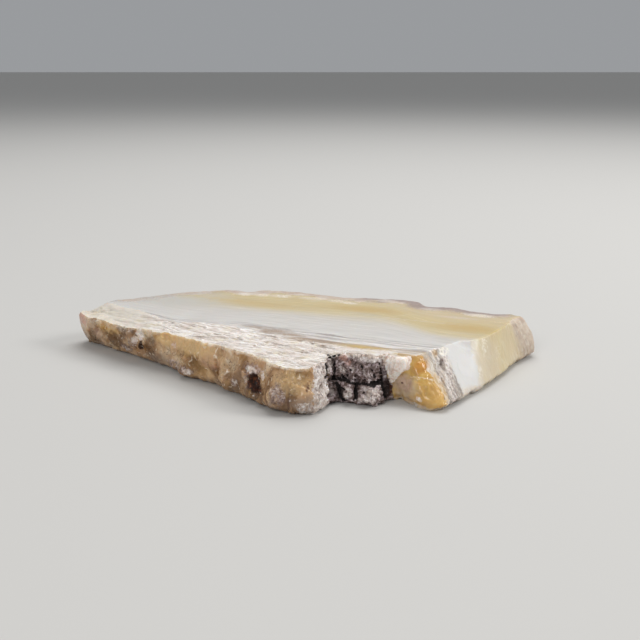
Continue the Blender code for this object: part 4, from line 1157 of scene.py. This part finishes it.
def layeredOpalMaterial():
    material = bpy.data.materials.new("layeredOpal")
    material.use_nodes = True
    tree = material.node_tree
    tree.nodes.clear()
    values = wholeSurface
    objectPlace = addNode(tree, "TexCoord", output="Object")
    downShare = addNode(tree, "Attribute", output="Fac", attribute_name="down")
    speckle = addNode(tree, "TexNoise", {
        "Vector": objectPlace, "Scale": perMetre(values["speckle"]), "Detail": 4.0, "Roughness": 0.6
    })
    dust = addNode(tree, "TexNoise", {
        "Vector": objectPlace, "Scale": perMetre(values["dust"]), "Detail": 3.0
    })
    colour, roughness = opalLook(tree, objectPlace)
    scatter = polishedOpal["scatter"]
    height = addNode(tree, "Math", (dust, values["dustHeight"]), operation="MULTIPLY")

    crumbs = addNode(tree, "MapRange", (speckle, *ironStain["crumbs"]))
    stain = addNode(tree, "ValToRGB", (crumbs,), stops=ironStain["stops"])
    finishes = {
        "sawn": sawnLook(tree, objectPlace, colour),
        "waxy": waxyLook(tree, objectPlace, downShare),
        "glassy": amberLook(tree, objectPlace),
        "rind": rindLook(tree, objectPlace, downShare),
        "crust": crustLook(tree, objectPlace),
        "sugary": grainyLook(tree, objectPlace, sugaryQuartz),
        "broken": grainyLook(tree, objectPlace, brokenMatrix),
        "drusy": grainyLook(tree, objectPlace, smallDruse),
        "drip": grainyLook(tree, objectPlace, denseDruse),
        "brown": (stain, ironStain["roughness"], None),
    }
    finishes.update(pale=finishes["sugary"], bloom=finishes["drip"])
    finishes.update((name, (*look, None)) for name, look in patchFinishes.items())

    for name, (low, high, raggedEdge, most, scatterHere) in finishRows.items():
        colourHere, roughnessHere, heightHere = finishes[name]
        cover = addNode(tree, "Attribute", output="Fac", attribute_name=name)
        edgeRange = (1 - 0.5 * raggedEdge, 1 + 0.5 * raggedEdge)
        speckled = addNode(tree, "MapRange", (speckle, *values["speckleRange"], *edgeRange))
        cover = addNode(tree, "Math", (cover, speckled), operation="MULTIPLY")
        weight = addNode(tree, "MapRange", (cover, low, high, 0.0, most))
        colour = addNode(tree, "Mix", (weight, colour, colourHere), data_type="RGBA")
        roughness = addNode(tree, "Mix", (weight, roughness, roughnessHere))
        scatter = addNode(tree, "Mix", (weight, scatter, scatterHere))
        if heightHere is not None:
            height = addNode(tree, "Mix", (weight, height, heightHere))
    # painted shade: darker in the hollows
    hollowShade = addNode(tree, "Attribute", output="Fac", attribute_name="hollowShade")
    hollowShade = addNode(tree, "Math", (hollowShade, values["hollowShadeStrength"]), operation="MULTIPLY")
    colour = addNode(
        tree, "Mix", (hollowShade, colour, values["hollowShadeColour"]), data_type="RGBA", blend_type="MULTIPLY"
    )
    unevenShine = addNode(tree, "MapRange", (dust, *values["unevenShine"]))
    roughness = addNode(tree, "Math", (roughness, unevenShine), operation="MULTIPLY")
    bump = addNode(tree, "Bump", {
        "Strength": values["bumpStrength"], "Distance": values["bumpDistance"] * mm, "Height": height
    })
    shader = addNode(tree, "BsdfPrincipled", {
        "Base Color": colour, "Roughness": roughness, "Normal": bump, "IOR": values["refraction"],
        "Subsurface Weight": scatter, "Subsurface Radius": values["scatterColour"],
        "Subsurface Scale": values["scatterDistance"] * mm,
    })
    addNode(tree, "OutputMaterial", {"Surface": shader})
    return material


print("slice: material")
opalSlice.data.materials.append(layeredOpalMaterial())
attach(opalSlice, "root")
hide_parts("hokkaidoite_slice")


studio = {
    "floorColour": "#C6C4C0", "floorRoughness": 0.8, "floorSize": 3.0,
    "floorDrop": 0.02,     # just below the slice, so that their faces don't flicker
    "worldColour": "#E2E5E9", "worldStrength": 0.42,
}


def makeFloor():
    mesh = bpy.data.meshes.new("floor")
    half = studio["floorSize"]
    corners = [(-half, -half, 0), (half, -half, 0), (half, half, 0), (-half, half, 0)]
    mesh.from_pydata(corners, [], [(0, 1, 2, 3)])
    floor = bpy.data.objects.new("floor", mesh)
    floor.location.z = -studio["floorDrop"] * mm
    bpy.context.scene.collection.objects.link(floor)
    material = bpy.data.materials.new("paintedBoard")  # matt painted board: an even pale grey
    material.use_nodes = True
    shader = material.node_tree.nodes["Principled BSDF"]
    shader.inputs["Base Color"].default_value = toLinear(studio["floorColour"])
    shader.inputs["Roughness"].default_value = studio["floorRoughness"]
    mesh.materials.append(material)


# Each soft light: where it stands, its size and its power, in metres and watts.
softLights = {
    "overhead": ((0.06, 0.20, 0.42), 0.40, 1.50),
    "right": ((0.34, -0.02, 0.22), 0.12, 0.62),
    "front": ((-0.16, -0.36, 0.24), 0.16, 0.56),
}


def makeLights():
    for name, (place, size, power) in softLights.items():
        light = bpy.data.lights.new(name, "AREA")
        light.size, light.energy = size, power
        lamp = bpy.data.objects.new(name, light)
        lamp.location = place
        lamp.rotation_euler = Vector(place).to_track_quat("Z", "Y").to_euler()
        bpy.context.scene.collection.objects.link(lamp)
    world = bpy.data.worlds.new("studio")
    world.use_nodes = True
    background = world.node_tree.nodes["Background"]
    background.inputs["Color"].default_value = toLinear(studio["worldColour"])
    background.inputs["Strength"].default_value = studio["worldStrength"]
    bpy.context.scene.world = world


view = {
    "height": 35.685,      # of the lens above the floor
    "distance": 98.8,      # from the lens to the drawing's y = 0, along the floor
    "pitch": 14.574,       # degrees below level
    "focalLength": 56.25, "sensor": 36.0,
}


def makeCamera():
    data = bpy.data.cameras.new("camera")
    data.lens, data.sensor_width, data.clip_start = view["focalLength"], view["sensor"], 0.001
    camera = bpy.data.objects.new("camera", data)
    centreX, centreY = slab["drawingCentre"]
    camera.location = (-centreX * mm, (-view["distance"] - centreY) * mm, view["height"] * mm)
    camera.rotation_euler = (math.radians(90 - view["pitch"]), 0, 0)
    bpy.context.scene.collection.objects.link(camera)
    bpy.context.scene.camera = camera


print("studio")
makeFloor()
makeLights()
makeCamera()
bpy.context.scene.view_settings.view_transform = "Standard"
